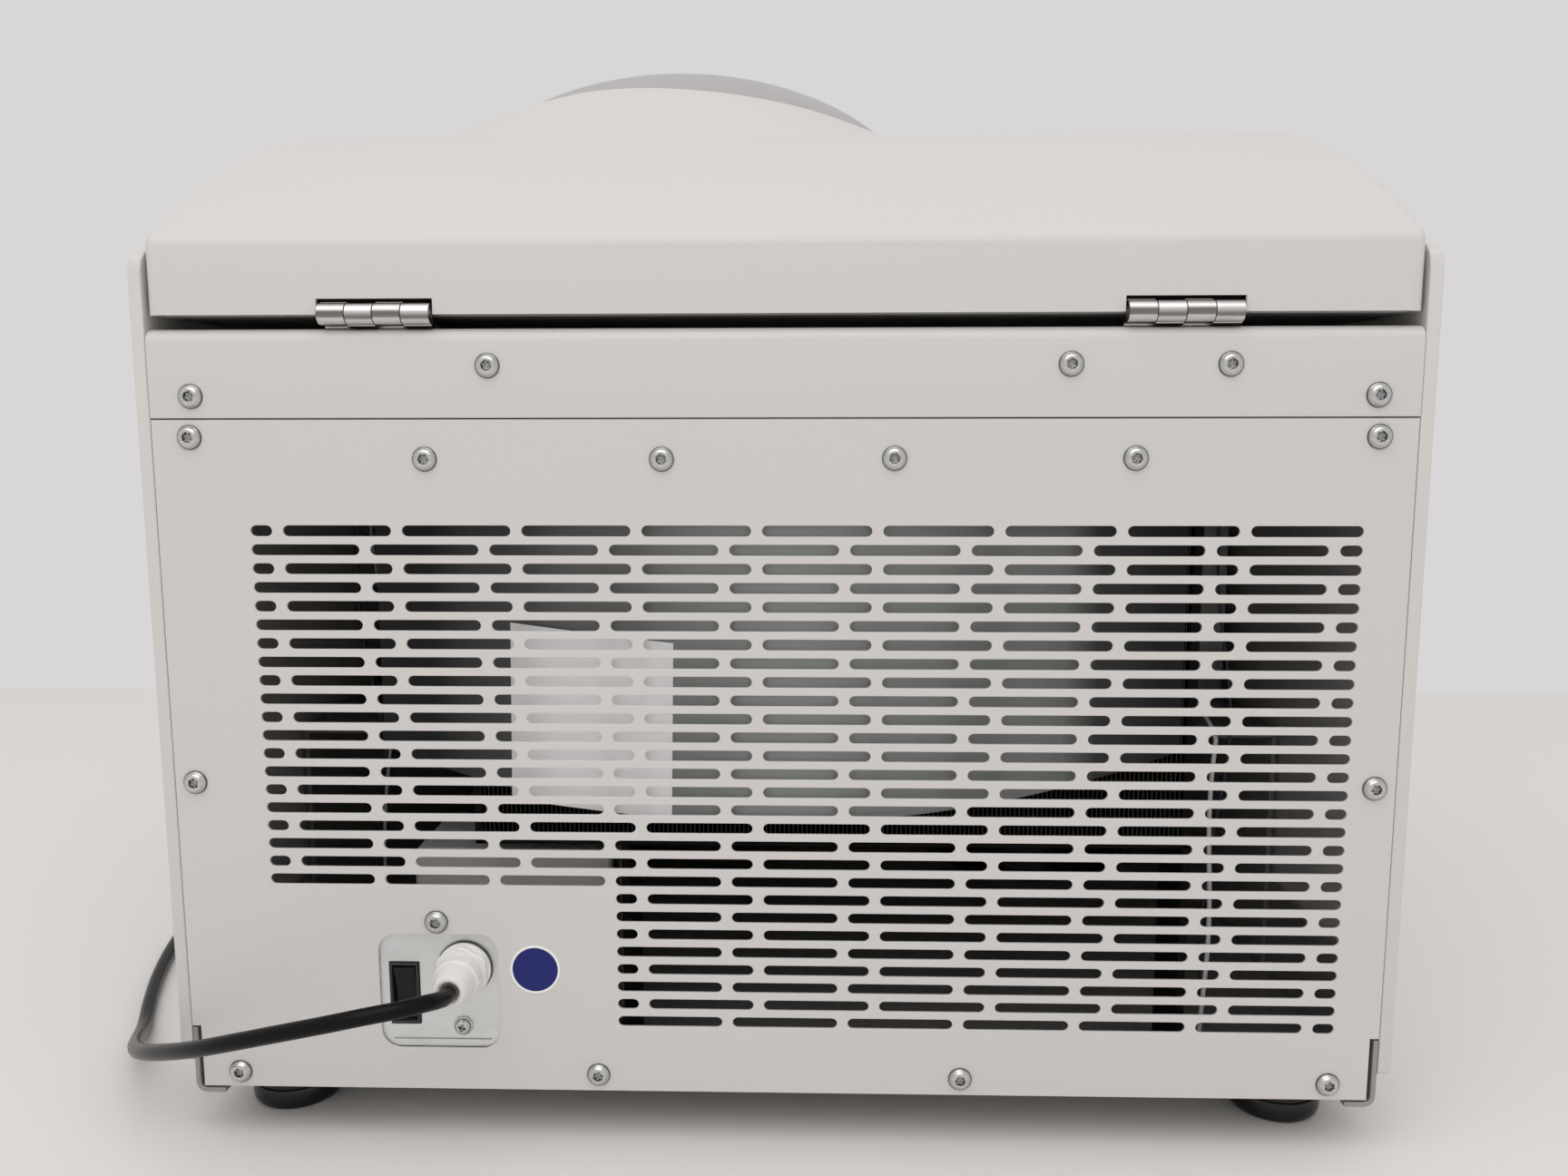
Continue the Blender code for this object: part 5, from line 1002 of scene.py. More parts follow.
# %% Rear panel
panel_half = panel_high[0]
notch_x, notch_z = panel_half - NOTCH[0], panel_low[2] + NOTCH[1]
panel_outline = np.array([
    (-panel_half, panel_high[2]), (-panel_half, notch_z), (-notch_x, notch_z), (-notch_x, panel_low[2]),
    (notch_x, panel_low[2]), (notch_x, notch_z), (panel_half, notch_z), (panel_half, panel_high[2])])
recess_corners = rectangle(np.subtract(RECESS, RECESS_SIZE / 2), np.add(RECESS, RECESS_SIZE / 2))
recess_outline = rounded(recess_corners, [RECESS_CORNER] * 4, 12)
panel_loops = [panel_outline, recess_outline] + [stadium(*place) for place in slots]
rear_sheet = sheet("rear_sheet", panel_loops, panel_low[1], panel_high[1], PUNCH_EDGE)
new_part(rear_sheet, "rear_panel")
print("panel of", len(rear_sheet.data.polygons), "faces")

# %% [markdown]
# ## Rear strip
#
# A folded strip closes the case above the panel. Its top edge is bent over with a radius of about
# six millimetres, which shows as a bright line. One outline, carried along the width, makes it. In
# the seam under it lies a black strip, set back by a millimetre, that paints the shade in the gap.

# %% Rear strip and its seam
STRIP_WALL = 0.002
STRIP_RADIUS = 0.006
STRIP_EDGE = 0.0005
SEAM_SETBACK = 0.0010
SEAM_HALF_DEPTH = 0.0006
SEAM_SHORT = 0.001
SEAM_PLAY = 0.00002
strip_low, strip_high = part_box("rear_strip")
face_y, top_z = strip_high[1], strip_high[2]
inner_y, inner_z = face_y - STRIP_WALL, top_z - STRIP_WALL
strip_outline = rounded(
    [(face_y, strip_low[2]), (face_y, top_z), (strip_low[1], top_z), (strip_low[1], inner_z),
     (inner_y, inner_z), (inner_y, strip_low[2])],
    [STRIP_EDGE, STRIP_RADIUS, STRIP_EDGE, STRIP_EDGE, STRIP_RADIUS - STRIP_WALL, STRIP_EDGE], 10)
upper_strip = bar("upper_strip", strip_outline, strip_low[0], strip_high[0], SIDEWAYS)
new_part(upper_strip, "rear_strip")
seam_place = (0, panel_high[1] - SEAM_SETBACK, (panel_high[2] + strip_low[2]) / 2)
seam_gap = strip_low[2] - panel_high[2]
seam_half = (panel_half - SEAM_SHORT, SEAM_HALF_DEPTH, seam_gap / 2 - SEAM_PLAY)
# A black strip in the seam: painted shade of the gap.
seam = boxes("seam_gasket", [seam_place], seam_half)
SEAM_SHADE = coat("seam_foam", (0.006, 0.006, 0.006), 0.6, 900.0, 0.00003, 0.1, 0.1)
new_trim(seam, "case", "black_rubber", SEAM_SHADE)
print("seam of", round(seam_gap * 1000, 2), "mm")

# %% [markdown]
# ## Folded and moulded covers
#
# The cheeks, the deck, the front and the other boxy pieces have the right shape as solids already.
# A copy of each one gets its points merged, its flat triangles joined, and every edge rounded as a
# press brake or a mould would leave it.


# %% Rounded copies of the boxy nodes
def softened(node, width):
    """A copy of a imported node: points merged, flat triangles joined, edges rounded by the width."""
    source = frame["nodes"][node]
    mesh = source.data.copy()
    work = bmesh.new()
    work.from_mesh(mesh)
    bmesh.ops.remove_doubles(work, verts=work.verts, dist=WELD * 10)
    flat = math.radians(1)
    bmesh.ops.dissolve_limit(work, angle_limit=flat, verts=work.verts, edges=work.edges)
    work.to_mesh(mesh)
    work.free()
    mesh.shade_smooth()
    mesh.set_sharp_from_angle(angle=SHARP)
    piece = bpy.data.objects.new(node + "_cover", mesh)
    bpy.context.scene.collection.objects.link(piece)
    return new_part(softened_edges(piece, width), node)


ROUNDINGS = {
    "left_cheek": 0.0014, "right_cheek": 0.0014, "deck_plate": 0.0007, "front_cover": 0.0007,
    "console_panel": 0.0010, "base_tray": 0.0006, "bridge_plate": 0.0006, "lid_liner": 0.0006,
    "lid_grip": 0.0012, "mains_filter": 0.0008, "drive_electronics": 0.0004, "mains_plate": 0.0002,
    "switch_housing": 0.0005, "lock_bracket": 0.0004, "lock_hook": 0.0004, "fixed_leaf_left": 0.0003,
    "fixed_leaf_right": 0.0003, "lid_leaf_left": 0.0003, "lid_leaf_right": 0.0003, "rotor_body": 0.0008,
    "drive_motor": 0.0008, "motor_buffer_1": 0.0008, "motor_buffer_2": 0.0008, "motor_buffer_3": 0.0008,
    "compressor": 0.0010, "fan_shroud": 0.0003, "fan_wheel": 0.0003, "guard_ring": 0.0004,
    "chamber_foam": 0.0004, "display_window": 0.0005, "lid_catch": 0.0002, "drive_shaft": 0.0006,
}
for node, width in ROUNDINGS.items():
    softened(node, width)
print(len(ROUNDINGS), "nodes rounded")

# %% [markdown]
# ## Hinge knuckles
#
# Two butt hinges join the lid to the strip. Their leaves are among the rounded copies already, and
# only their finish differs: the painted reflection band is lower and narrower on the fixed leaves
# than on the lid's.

# %% Hinge knuckles
KNUCKLE_RADIUS = 0.0049
KNUCKLE_REFLECTION_BANDS = (("fixed", -0.60, -0.25), ("lid", -0.45, 0.15))
pin_low, pin_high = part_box("hinge_pin_left")
pin_axis = ((pin_low[1] + pin_high[1]) / 2, (pin_low[2] + pin_high[2]) / 2)
for kind, low, high in KNUCKLE_REFLECTION_BANDS:
    steel = rolled_knuckles(kind + "_knuckle_steel", pin_axis, KNUCKLE_RADIUS, low, high)
    for side in ("left", "right"):
        finished(bpy.data.objects[f"{kind}_leaf_{side}_cover"], steel)
print("knuckles", round(2000 * KNUCKLE_RADIUS, 1), "mm across")

# %% [markdown]
# ## Lid
#
# The lid is a thin shell: a straight band at its rear, a soft crease, and a top that rises as an arc
# to its highest line and falls again to the front. A smooth round swelling leads up to the grey dome
# over the rotor. Height is a function of place, so the whole top is one numpy grid; its rim is
# pulled down, rounded and given a wall, and the openings are cut out.

# %% Lid's measures
HINGE_X = 0.180
NOTCH_HALF = (0.02625, 0.006, 0.0070)
lid_low, lid_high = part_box("lid_shell")
LID_BOTTOM = lid_low[2]
CREASE = LID_BOTTOM + 0.034
LID_REAR = lid_high[1]
LID_LENGTH = lid_high[1] - lid_low[1]
LID_HALF = lid_high[0]
LID_RISE = 0.096
LID_APEX = 0.310
LID_ARC = (LID_APEX ** 2 + LID_RISE ** 2) / (2 * LID_RISE)
LID_WALL = 0.002
LID_EDGE = 0.0045
LID_CELLS = 110
FIRST_CELL = 0.007
SWELL_AT = (0.080, 0.301)
SWELL_REACH = (0.155, 0.164)
SWELL_RISE = 0.0392
SWELL_POWER = 1.19
DOME_AT = (0.0725, LID_REAR - 0.348)
DOME_RADIUS = 0.166
DOME_HALF_HEIGHT = 0.097
DOME_TOP = 0.150
DOME_MIDDLE = CREASE + DOME_TOP - DOME_HALF_HEIGHT
DOME_GAP = 0.0007
CUTTER_DROP = 0.030
CUTTER_STEPS = 160
CUTTER_POINTS = 40
print("lid", round(LID_LENGTH, 4), "m long, crease at", round(CREASE, 4))


# %% Lid shell
def lid_height(x, back):
    """Arc of a circle along the depth, plus (1 - distance squared) to a power around the swelling."""
    arc = LID_RISE - LID_ARC + np.sqrt(np.maximum(LID_ARC ** 2 - (back - LID_APEX) ** 2, 0))
    far = ((x - SWELL_AT[0]) / SWELL_REACH[0]) ** 2 + ((back - SWELL_AT[1]) / SWELL_REACH[1]) ** 2
    return CREASE + arc + SWELL_RISE * np.maximum(1 - far, 0) ** SWELL_POWER


def dome_line(grow, count):
    """A quarter of an ellipse from the top down to the widest line."""
    angle = np.linspace(0, math.pi / 2, count)
    return np.stack([(DOME_RADIUS + grow) * np.sin(angle),
                     DOME_MIDDLE + (DOME_HALF_HEIGHT + grow) * np.cos(angle)], axis=1)


def lid_cutter():
    """Two hinge notches and the dome's own shape, grown by the gap around it, as one mesh."""
    wide, low = DOME_RADIUS + DOME_GAP, DOME_MIDDLE - CUTTER_DROP
    profile = [tuple(p) for p in dome_line(DOME_GAP, CUTTER_POINTS)] + [(wide, low), (0.0, low)]
    points = [turned_points(profile, (*DOME_AT, 0), UPRIGHT, CUTTER_STEPS).reshape(-1, 3)]
    faces = [list(face) for face in grid_faces(len(profile), CUTTER_STEPS, False, True)]
    for way in (-1, 1):
        first = sum(len(p) for p in points)
        points.append(np.array([way * HINGE_X, LID_REAR, LID_BOTTOM]) + BOX_SIGNS * np.array(NOTCH_HALF))
        faces += [[first + corner for corner in quad] for quad in BOX_QUADS]
    return skin("lid_cutter", np.vstack(points), faces)


def lid_sheet():
    """The top as a grid of height over place, with a skirt from its rim straight down."""
    x = np.linspace(-LID_HALF + FIRST_CELL, LID_HALF - FIRST_CELL, LID_CELLS)
    back = np.linspace(FIRST_CELL, LID_LENGTH - FIRST_CELL, LID_CELLS)
    x = np.concatenate([[-LID_HALF], x, [LID_HALF]])
    back = np.concatenate([[0], back, [LID_LENGTH]])
    gx, gb = np.meshgrid(x, back, indexing="ij")
    top = np.stack([gx, LID_REAR - gb, lid_height(gx, gb)], axis=-1)
    rim = grid_rim(*top.shape[:2])
    points = top.reshape(-1, 3)
    skirt = points[rim] * np.array([1, 1, 0]) + np.array([0, 0, LID_BOTTOM])
    number = len(points) + np.arange(len(rim))
    wall = np.stack([rim, np.roll(rim, -1), np.roll(number, -1), number], axis=1)
    return skin("lid_skin", np.vstack([points, skirt]), np.vstack([grid_faces(*top.shape[:2]), wall]))


lid_skin = lid_sheet()
crown = max(lid_skin.data.polygons, key=lambda face: face.center.z)
if crown.normal.z < 0:
    lid_skin.data.flip_normals()
softened_edges(lid_skin, LID_EDGE, 5, 40).modifiers["edges"].use_clamp_overlap = False
wall = lid_skin.modifiers.new("wall", "SOLIDIFY")
wall.thickness = LID_WALL
wall.offset = -1
wall.use_even_offset = True
cutter = lid_cutter()
opening = lid_skin.modifiers.new("openings", "BOOLEAN")
opening.operation = "DIFFERENCE"
opening.solver = "EXACT"
opening.object = cutter
applied(lid_skin)
bpy.data.objects.remove(cutter, do_unlink=True)
new_part(lid_skin, "lid_shell")
print("lid of", len(lid_skin.data.polygons), "faces")

# %% [markdown]
# ## Dome
#
# The grey cap is one half of a flattened ball, with a short skirt that goes down through the lid. A
# scaled sphere would have to be cut and hollowed. Turned about its own upright axis, inside and
# outside in one closed profile, it comes out finished.

# %% Dome
DOME_WALL = 0.003
DOME_POINTS = 72
DOME_STEPS = 192
dome_low, dome_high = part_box("lid_dome")
outer = dome_line(0.0, DOME_POINTS)
inner = dome_line(-DOME_WALL, DOME_POINTS)[::-1]
skirt = [(DOME_RADIUS, dome_low[2]), (DOME_RADIUS - DOME_WALL, dome_low[2])]
dome_profile = np.vstack([outer, skirt, inner]).tolist()
dome_cap = turned("dome_cap", dome_profile, (*DOME_AT, 0), UPRIGHT, DOME_STEPS)
new_part(dome_cap, "lid_dome")
print("dome from", round(dome_low[2], 4), "to", round(dome_high[2], 4))

# %% [markdown]
# ## Seal under the lid
#
# A soft rubber ring seals the chamber. Its section has a rounded lip where it meets the bowl's
# flange and nearly square corners above, so a rounded polygon is turned about the rotor's axis.

# %% Lid seal
SEAL_WIDTH = 0.007
SEAL_LIP = 0.0028
SEAL_EDGE = 0.0006
SEAL_STEPS = 160
seal_low, seal_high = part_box("lid_seal")
seal_outer = (seal_high[0] - seal_low[0]) / 2
seal_inner = seal_outer - SEAL_WIDTH
seal_profile = rounded(
    [(seal_inner, seal_high[2]), (seal_outer, seal_high[2]), (seal_outer, seal_low[2]),
     (seal_inner, seal_low[2])], [SEAL_EDGE, SEAL_EDGE, SEAL_LIP, SEAL_LIP])
new_part(turned("seal_ring", seal_profile.tolist(), (*CHAMBER, 0), UPRIGHT, SEAL_STEPS), "lid_seal")
print("seal", round(2 * seal_outer, 4), "m across")

# %% [markdown]
# ## Screws
#
# Eighteen zinc-plated screws with a flanged button head and a six-lobed recess hold the strip and
# the panel. Eighteen objects would do, but one surface is lighter: rings around each screw's axis,
# where the recess's rings follow r = r0 (1 + 0.13 cos 6a). Each screw is turned by its own angle, as
# nobody tightens them all alike. The places are in millimetres, to the right and down in the picture
# from a point near the panel's upper corner.

# %% Places and profile of the screws
PHOTO_X, PHOTO_Z = 0.2418, 0.297
STRIP_SCREWS = [(111.9, -74.4), (372.4, -74.5), (442.5, -74.3), (-23.8, -61.0), (507.8, -60.7)]
PANEL_SCREWS = [(-25.5, -42.6), (509.3, -42.4), (81.9, -32.7), (189.7, -32.6), (294.7, -32.9),
                (402.3, -32.9), (-33.2, 119.1), (516.8, 118.6), (-20.3, 264.1), (154.9, 263.6),
                (329.0, 263.6), (503.5, 264.0), (78.7, 187.1)]
SCREW_STEPS = 48
SCREW_SHARP = math.radians(40)
FIRST_TURN, LAST_TURN = 0.3, 5.1
HEAD = [(0.0, 0.0005, 1), (0.0016, 0.0006, 1), (0.0020, 0.0009, 1), (0.0021, 0.0024, 1),
        (0.0024, 0.0028, 1), (0.0029, 0.00292, 0), (0.0035, 0.0028, 0), (0.0041, 0.0024, 0),
        (0.0046, 0.0018, 0), (0.0049, 0.0011, 0), (0.0051, 0.0009, 0), (0.0054, 0.00075, 0),
        (0.00565, 0.0004, 0), (0.00565, 0.0, 0), (0.0, 0.0, 0)]
print(len(STRIP_SCREWS) + len(PANEL_SCREWS), "screws,", 2 * HEAD[-2][0], "m across")


# %% Button-head screws
def screw_heads(name, places, seat, size=1.0, lobes=6, swell=0.13):
    """Rings of one head, scaled and copied to each place; lobed rings swell with cos(lobes a)."""
    angle = 2 * math.pi * np.arange(SCREW_STEPS) / SCREW_STEPS
    head = np.array(HEAD) * np.array([size, size, 1])
    wave = 1 + swell * head[:, 2:] * np.cos(lobes * angle)
    one = turned_points(head[:, :2], (0, 0, 0), REARWARD, SCREW_STEPS, wave)
    centres = np.array([(PHOTO_X - u / 1000, seat, PHOTO_Z - v / 1000) for u, v in places])
    turns = np.linspace(FIRST_TURN, LAST_TURN, len(places))[:, None, None]
    c, s = np.cos(turns), np.sin(turns)
    x, y, z = one[..., 0], one[..., 1], one[..., 2]
    spun = np.stack([c * x - s * z, y + 0 * c, s * x + c * z], axis=-1)
    quads = grid_faces(len(head), SCREW_STEPS, False, True)
    first = len(head) * SCREW_STEPS * np.arange(len(places))[:, None, None]
    faces = (quads[None] + first).reshape(-1, 4)
    screws = skin(name, spun + centres[:, None, None], faces, SCREW_SHARP)
    corners = np.empty(3 * len(screws.data.vertices))
    screws.data.vertices.foreach_get("co", corners)
    away = corners.reshape(-1, 1, 3)[..., ::2] - centres[None, :, ::2]
    reach = screws.data.attributes.new("reach", "FLOAT", "POINT")
    nearest = np.linalg.norm(away, axis=2).min(axis=1)
    reach.data.foreach_set("value", nearest / (HEAD[-2][0] * size))
    return screws


strip_screws = screw_heads("strip_screws", STRIP_SCREWS, face_y)
panel_screws = screw_heads("panel_screws", PANEL_SCREWS, panel_high[1])
new_trim(strip_screws, "case", "bright_steel", SCREW_ZINC)
new_trim(panel_screws, "case", "bright_steel", SCREW_ZINC)
print("screw mesh of", len(panel_screws.data.polygons), "faces")

# %% [markdown]
# ## Mains recess
#
# A galvanised plate closes the recess from behind. It carries a black rocker switch, a white cable
# gland and an earth screw. The gland is a round collar, a hexagon, a ribbed nut and a tapered nose,
# all on one axis. Four parts could be modelled and joined, but one turned surface does it: its radius
# is a function of the height and of the angle around it. A dark ring lies under it.

# %% Cable gland
gland_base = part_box("cable_gland")[0][1]
GLAND_AT = (0.1505, gland_base, 0.0865)
GLAND_STEPS = 144
GLAND_SHARP = math.radians(28)
SIXTH = math.pi / 3
HEXAGON_ROUND = 0.945
gland_angle = 2 * math.pi * np.arange(GLAND_STEPS) / GLAND_STEPS
off_middle = (gland_angle + SIXTH / 2) % SIXTH - SIXTH / 2
plain = np.ones(GLAND_STEPS)
hexagon = np.minimum(math.cos(SIXTH / 2) / np.cos(off_middle), HEXAGON_ROUND)
ribs = 1 + 0.32 * np.maximum(np.cos(6 * gland_angle + 0.5) - 0.9, 0)
GLAND_PARTS = [
    (plain, [(0.0, 0.0), (0.0126, 0.0), (0.0129, 0.0004), (0.0129, 0.0030), (0.0126, 0.0034)]),
    (hexagon, [(0.0137, 0.0036), (0.0137, 0.0068), (0.0130, 0.0075)]),
    (plain, [(0.0108, 0.0076), (0.0102, 0.0080)]),
    (ribs, [(0.0104, 0.0084), (0.0107, 0.0088), (0.0107, 0.0158), (0.0103, 0.0165)]),
    (plain, [(0.0098, 0.0169), (0.0096, 0.0185), (0.0089, 0.0215), (0.0082, 0.0244), (0.0077, 0.0261),
             (0.0070, 0.0271), (0.0061, 0.0275), (0.0052, 0.0272), (0.0047, 0.0264), (0.0046, 0.0130),
             (0.0, 0.0130)]),
]
gland_profile = [point for _, points in GLAND_PARTS for point in points]
gland_factor = np.array([section for section, points in GLAND_PARTS for _ in points])
gland_piece = turned("gland_piece", gland_profile, GLAND_AT, REARWARD, GLAND_STEPS, gland_factor,
                     GLAND_SHARP)
new_part(gland_piece, "cable_gland")
# A dark ring under the gland.
dark_ring_line = rounded(rectangle((0.0100, 0.0001), (0.01335, 0.0011)), [0, 0.0003, 0.0003, 0], 4)
gland_seal = turned("gland_seal", dark_ring_line.tolist(), GLAND_AT, REARWARD)
DARK_RING_COAT = coat("seal_rubber", (0.055, 0.052, 0.046), 0.6, 1500.0, 0.00003, 0.1, 0.3)
new_trim(gland_seal, "case", "black_rubber", DARK_RING_COAT)
print("gland of", len(gland_profile), "rings")

# %% [markdown]
# ## Rocker
#
# The rocker's face is a shallow trough, so that one end always stands out and the thumb finds it. The
# trough is a grid whose depth follows a power of the distance from the middle; with a flat grid
# behind it, joined round the rims, it makes a closed cap, tilted to the side that is pressed in.

# %% Rocker
ROCKER_AT = (0.18015, 0.3156, 0.0733)
ROCKER_HALF_Z = 0.0135
ROCKER_DEEP = 0.0026
ROCKER_TROUGH, ROCKER_CROWN = 0.0011, 0.0003
ROCKER_TILT = math.radians(6)
rocker_low, rocker_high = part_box("mains_rocker")
rocker_half_x = (rocker_high[0] - rocker_low[0]) / 2
across, up = np.meshgrid(np.linspace(-1, 1, 15), np.linspace(-1, 1, 41), indexing="ij")
trough = ROCKER_DEEP - ROCKER_TROUGH * (1 - np.abs(up) ** 1.6) - ROCKER_CROWN * across ** 6
front = np.stack([rocker_half_x * across, trough, ROCKER_HALF_Z * up], axis=-1)
back = np.stack([rocker_half_x * across, 0 * across - ROCKER_DEEP, ROCKER_HALF_Z * up], axis=-1)
c, s = math.cos(ROCKER_TILT), math.sin(ROCKER_TILT)
lean = np.array([[1, 0, 0], [0, c, s], [0, -s, c]])
ROCKER_BLACK = coat("rocker_black", (0.006, 0.006, 0.0065), 0.3, 1500.0, 0.00002, 0.1, 0.25)
rocker_cap = closed_pair("rocker_cap", front @ lean.T + ROCKER_AT, back @ lean.T + ROCKER_AT)
softened_edges(rocker_cap, 0.0003, 2)
new_part(rocker_cap, "mains_rocker", finish=ROCKER_BLACK)
print("rocker", round(2 * rocker_half_x, 4), "m wide")

# %% [markdown]
# ## Disc, earth screw and fold
#
# Small trim around the recess: a thin round disc, an earth screw with a cross recess on a toothed
# washer, and the line where the plate is folded. The washer's teeth are a square wave in its radius.

# %% Disc
DISC_AT = (0.1163, 0.0865)
DISC_RADIUS = 0.0120
DISC_RIM = 0.0109
DISC_THICK = 0.00018
DISC_LIFT = 0.00002
disc_profile = [(0.0, DISC_THICK), (DISC_RADIUS - 0.0001, DISC_THICK), (DISC_RADIUS, DISC_THICK / 2),
                (DISC_RADIUS, DISC_LIFT), (0.0, DISC_LIFT)]
disc = turned("round_mark", disc_profile, (DISC_AT[0], panel_high[1], DISC_AT[1]), REARWARD)
new_trim(disc, "case", "pale_plastic", print_disc("blue_disc", DISC_AT, DISC_RIM))
print("disc", 2 * DISC_RADIUS, "m across")

# %% Earth screw, washer and fold
EARTH_AT = (89.4, 240.2)
WASHER_STEPS = 96
WASHER_LINE = [(0.0022, 0.0002), (0.0022, 0.0010), (0.0036, 0.0011), (0.0046, 0.0009), (0.0047, 0.0002)]
FOLD_SIDE, FOLD_LIFT, FOLD_DROP = 0.0005, 0.0002, 0.0247
FOLD_HALF = (0.0238, 0.0002, 0.0002)
plate_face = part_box("mains_plate")[1][1]
earth = screw_heads("earth_screw", [EARTH_AT], plate_face + 0.0011, 0.70, 4, 0.36)
new_trim(earth, "case", "bright_steel", SCREW_ZINC)
washer_angle = 2 * math.pi * np.arange(WASHER_STEPS) / WASHER_STEPS
teeth = 1 + 0.05 * np.sign(np.sin(16 * washer_angle))
washer_factor = np.vstack([np.ones(WASHER_STEPS)] * 3 + [teeth] * 2)
washer_at = (PHOTO_X - EARTH_AT[0] / 1000, plate_face, PHOTO_Z - EARTH_AT[1] / 1000)
washer = turned("earth_washer", WASHER_LINE, washer_at, REARWARD, WASHER_STEPS, washer_factor)
new_trim(washer, "case", "bright_steel", SCREW_ZINC)
fold_at = (RECESS[0] - FOLD_SIDE, plate_face + FOLD_LIFT, RECESS[1] - FOLD_DROP)
# The fold shows as a thin darker bar on the plate: painted shade of the bend.
new_trim(boxes("plate_fold", [fold_at], FOLD_HALF), "case", "plate_zinc", FINISH["grey_steel"])
print("earth screw at", [round(v, 4) for v in washer_at])

# %% [markdown]
# ## Feet
#
# Four moulded rubber feet with a rounded tread and a groove above it. Stacked cylinders would show
# their seams, so one profile gives the tread, the groove and the seat, and is turned at each corner.

# %% Feet
FOOT = [(0.0, 0.0), (0.0185, 0.0), (0.0208, 0.0006), (0.0220, 0.0022), (0.0225, 0.0046),
        (0.0225, 0.0100), (0.0222, 0.0108), (0.0214, 0.0112), (0.0214, 0.0122), (0.0222, 0.0127),
        (0.0223, 0.0172), (0.0216, 0.0196), (0.0196, 0.0210), (0.0190, 0.0212), (0.0, 0.0212)]
FOOT_STEPS = 72
FOOT_RUBBER = coat("foot_rubber", (0.0055, 0.0055, 0.0055), 0.17, 500.0, 0.000004, 0.1, 0.45)
for place in ("front_left", "front_right", "rear_left", "rear_right"):
    low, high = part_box("foot_" + place)
    middle = ((low[0] + high[0]) / 2, (low[1] + high[1]) / 2, 0)
    new_part(turned("pad_" + place, FOOT, middle, UPRIGHT, FOOT_STEPS), "foot_" + place,
             finish=FOOT_RUBBER)
print("feet", FOOT[-1][1], "m high")

# %% [markdown]
# ## Condenser
#
# Behind the slots stands a block of thin upright fins on hairpin tubes. One fin repeated by an Array
# modifier would do, but a hundred and more thin boxes are as quickly worked out at once, as one mesh.
# Each tube winds through them in one path: straight runs joined by half circles at both ends. A black
# frame with two legs holds the block.

# %% Condenser fins
FIN_PITCH = 0.0022
FIN_HALF = 0.00016
FIN_SHORT, FIN_LOW = 0.001, 0.002
LEG_WALL = 0.004
CON_BOTTOM = 0.140
con_low, con_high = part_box("condenser")
con_x, con_y = (con_low[0] + con_high[0]) / 2, (con_low[1] + con_high[1]) / 2
con_z, half_y = (CON_BOTTOM + con_high[2]) / 2, (con_high[1] - con_low[1]) / 2
fin_x = np.arange(con_low[0] + LEG_WALL, con_high[0] - LEG_WALL, FIN_PITCH)
fin_centres = np.stack([fin_x, 0 * fin_x + con_y, 0 * fin_x + con_z], axis=1)
fin_halves = (FIN_HALF, half_y - FIN_SHORT, (con_high[2] - CON_BOTTOM) / 2 - FIN_LOW)
new_part(boxes("condenser_fins", fin_centres, fin_halves), "condenser")
print(len(fin_x), "fins")

# %% Hairpin tubes
TUBE_RADIUS = 0.0032
TUBE_ROWS = 8
TUBE_SIDES = 12
TUBE_APART = 0.010
TUBE_INSET = 0.012
TUBE_SHORT = 0.002
BEND_POINTS = 9
BEND_ROOM = 0.0105


def hairpins(y):
    """Straight runs at equal heights, joined by half circles left and right in turn."""
    heights = np.linspace(CON_BOTTOM + TUBE_INSET, con_high[2] - TUBE_INSET, TUBE_ROWS)
    bend = (heights[1] - heights[0]) / 2
    ends = (con_low[0] + TUBE_SHORT, con_high[0] - TUBE_SHORT)
    parts = []
    for i, z in enumerate(heights):
        way = 1 if i % 2 == 0 else -1
        first, last = ends[::way]
        parts.append([(first, z), (last, z)])
        if i < TUBE_ROWS - 1:
            half_circle = ring((last, z + bend), bend, BEND_POINTS, -math.pi / 2, way * math.pi, False)
            parts.append(half_circle[1:-1])
    flat = np.vstack(parts)
    width = con_high[0] - con_low[0]
    shrink = (width - TUBE_SHORT - 2 * BEND_ROOM) / width
    return np.column_stack([(flat[:, 0] - con_x) * shrink + con_x, np.full(len(flat), y), flat[:, 1]])


tubes = np.stack([tube_points(hairpins(con_y + way * TUBE_APART), TUBE_RADIUS, TUBE_SIDES, (0, 1, 0))
                  for way in (-1, 1)])
one_tube = tube_faces(tubes.shape[1], TUBE_SIDES)
other_tube = [[corner + tubes.shape[1] * TUBE_SIDES for corner in face] for face in one_tube]
pipes = skin("condenser_tubes", tubes, one_tube + other_tube)
COPPER = drawn_metal("dull_copper", (0.14, 0.085, 0.06), 0.5, (60.0, 60.0, 60.0), 0.00001, 0.15)
new_trim(pipes, "case", "condenser_fins", COPPER)
print(TUBE_ROWS, "runs in each tube")

# %% Condenser frame
FRAME_HALF = 0.0008
FRAME_SHORT = 0.0002
LEG_X = 0.074
half_leg, half_x = LEG_WALL / 2, (con_high[0] - con_low[0]) / 2 - FRAME_SHORT
leg_z, foot_z = (con_low[2] + con_high[2]) / 2, (con_low[2] + CON_BOTTOM) / 2
FRAME = [((con_low[0] + half_leg, con_y, leg_z), (half_leg, half_y, (con_high[2] - con_low[2]) / 2)),
         ((LEG_X + half_leg, con_y, foot_z), (half_leg, half_y, (CON_BOTTOM - con_low[2]) / 2)),
         ((con_high[0] - half_leg, con_y, con_z), (half_leg, half_y, (con_high[2] - CON_BOTTOM) / 2)),
         ((con_x, con_y, con_high[2] - FRAME_HALF), (half_x, half_y, FRAME_HALF)),
         ((con_x, con_y, CON_BOTTOM + FRAME_HALF), (half_x, half_y, FRAME_HALF))]
holder = boxes("condenser_frame", [row[0] for row in FRAME], np.array([row[1] for row in FRAME]))
SHADE_BLACK = coat("inner_black", (0.006, 0.006, 0.006), 0.6, 900.0, 0.00003, 0.1, 0.12)
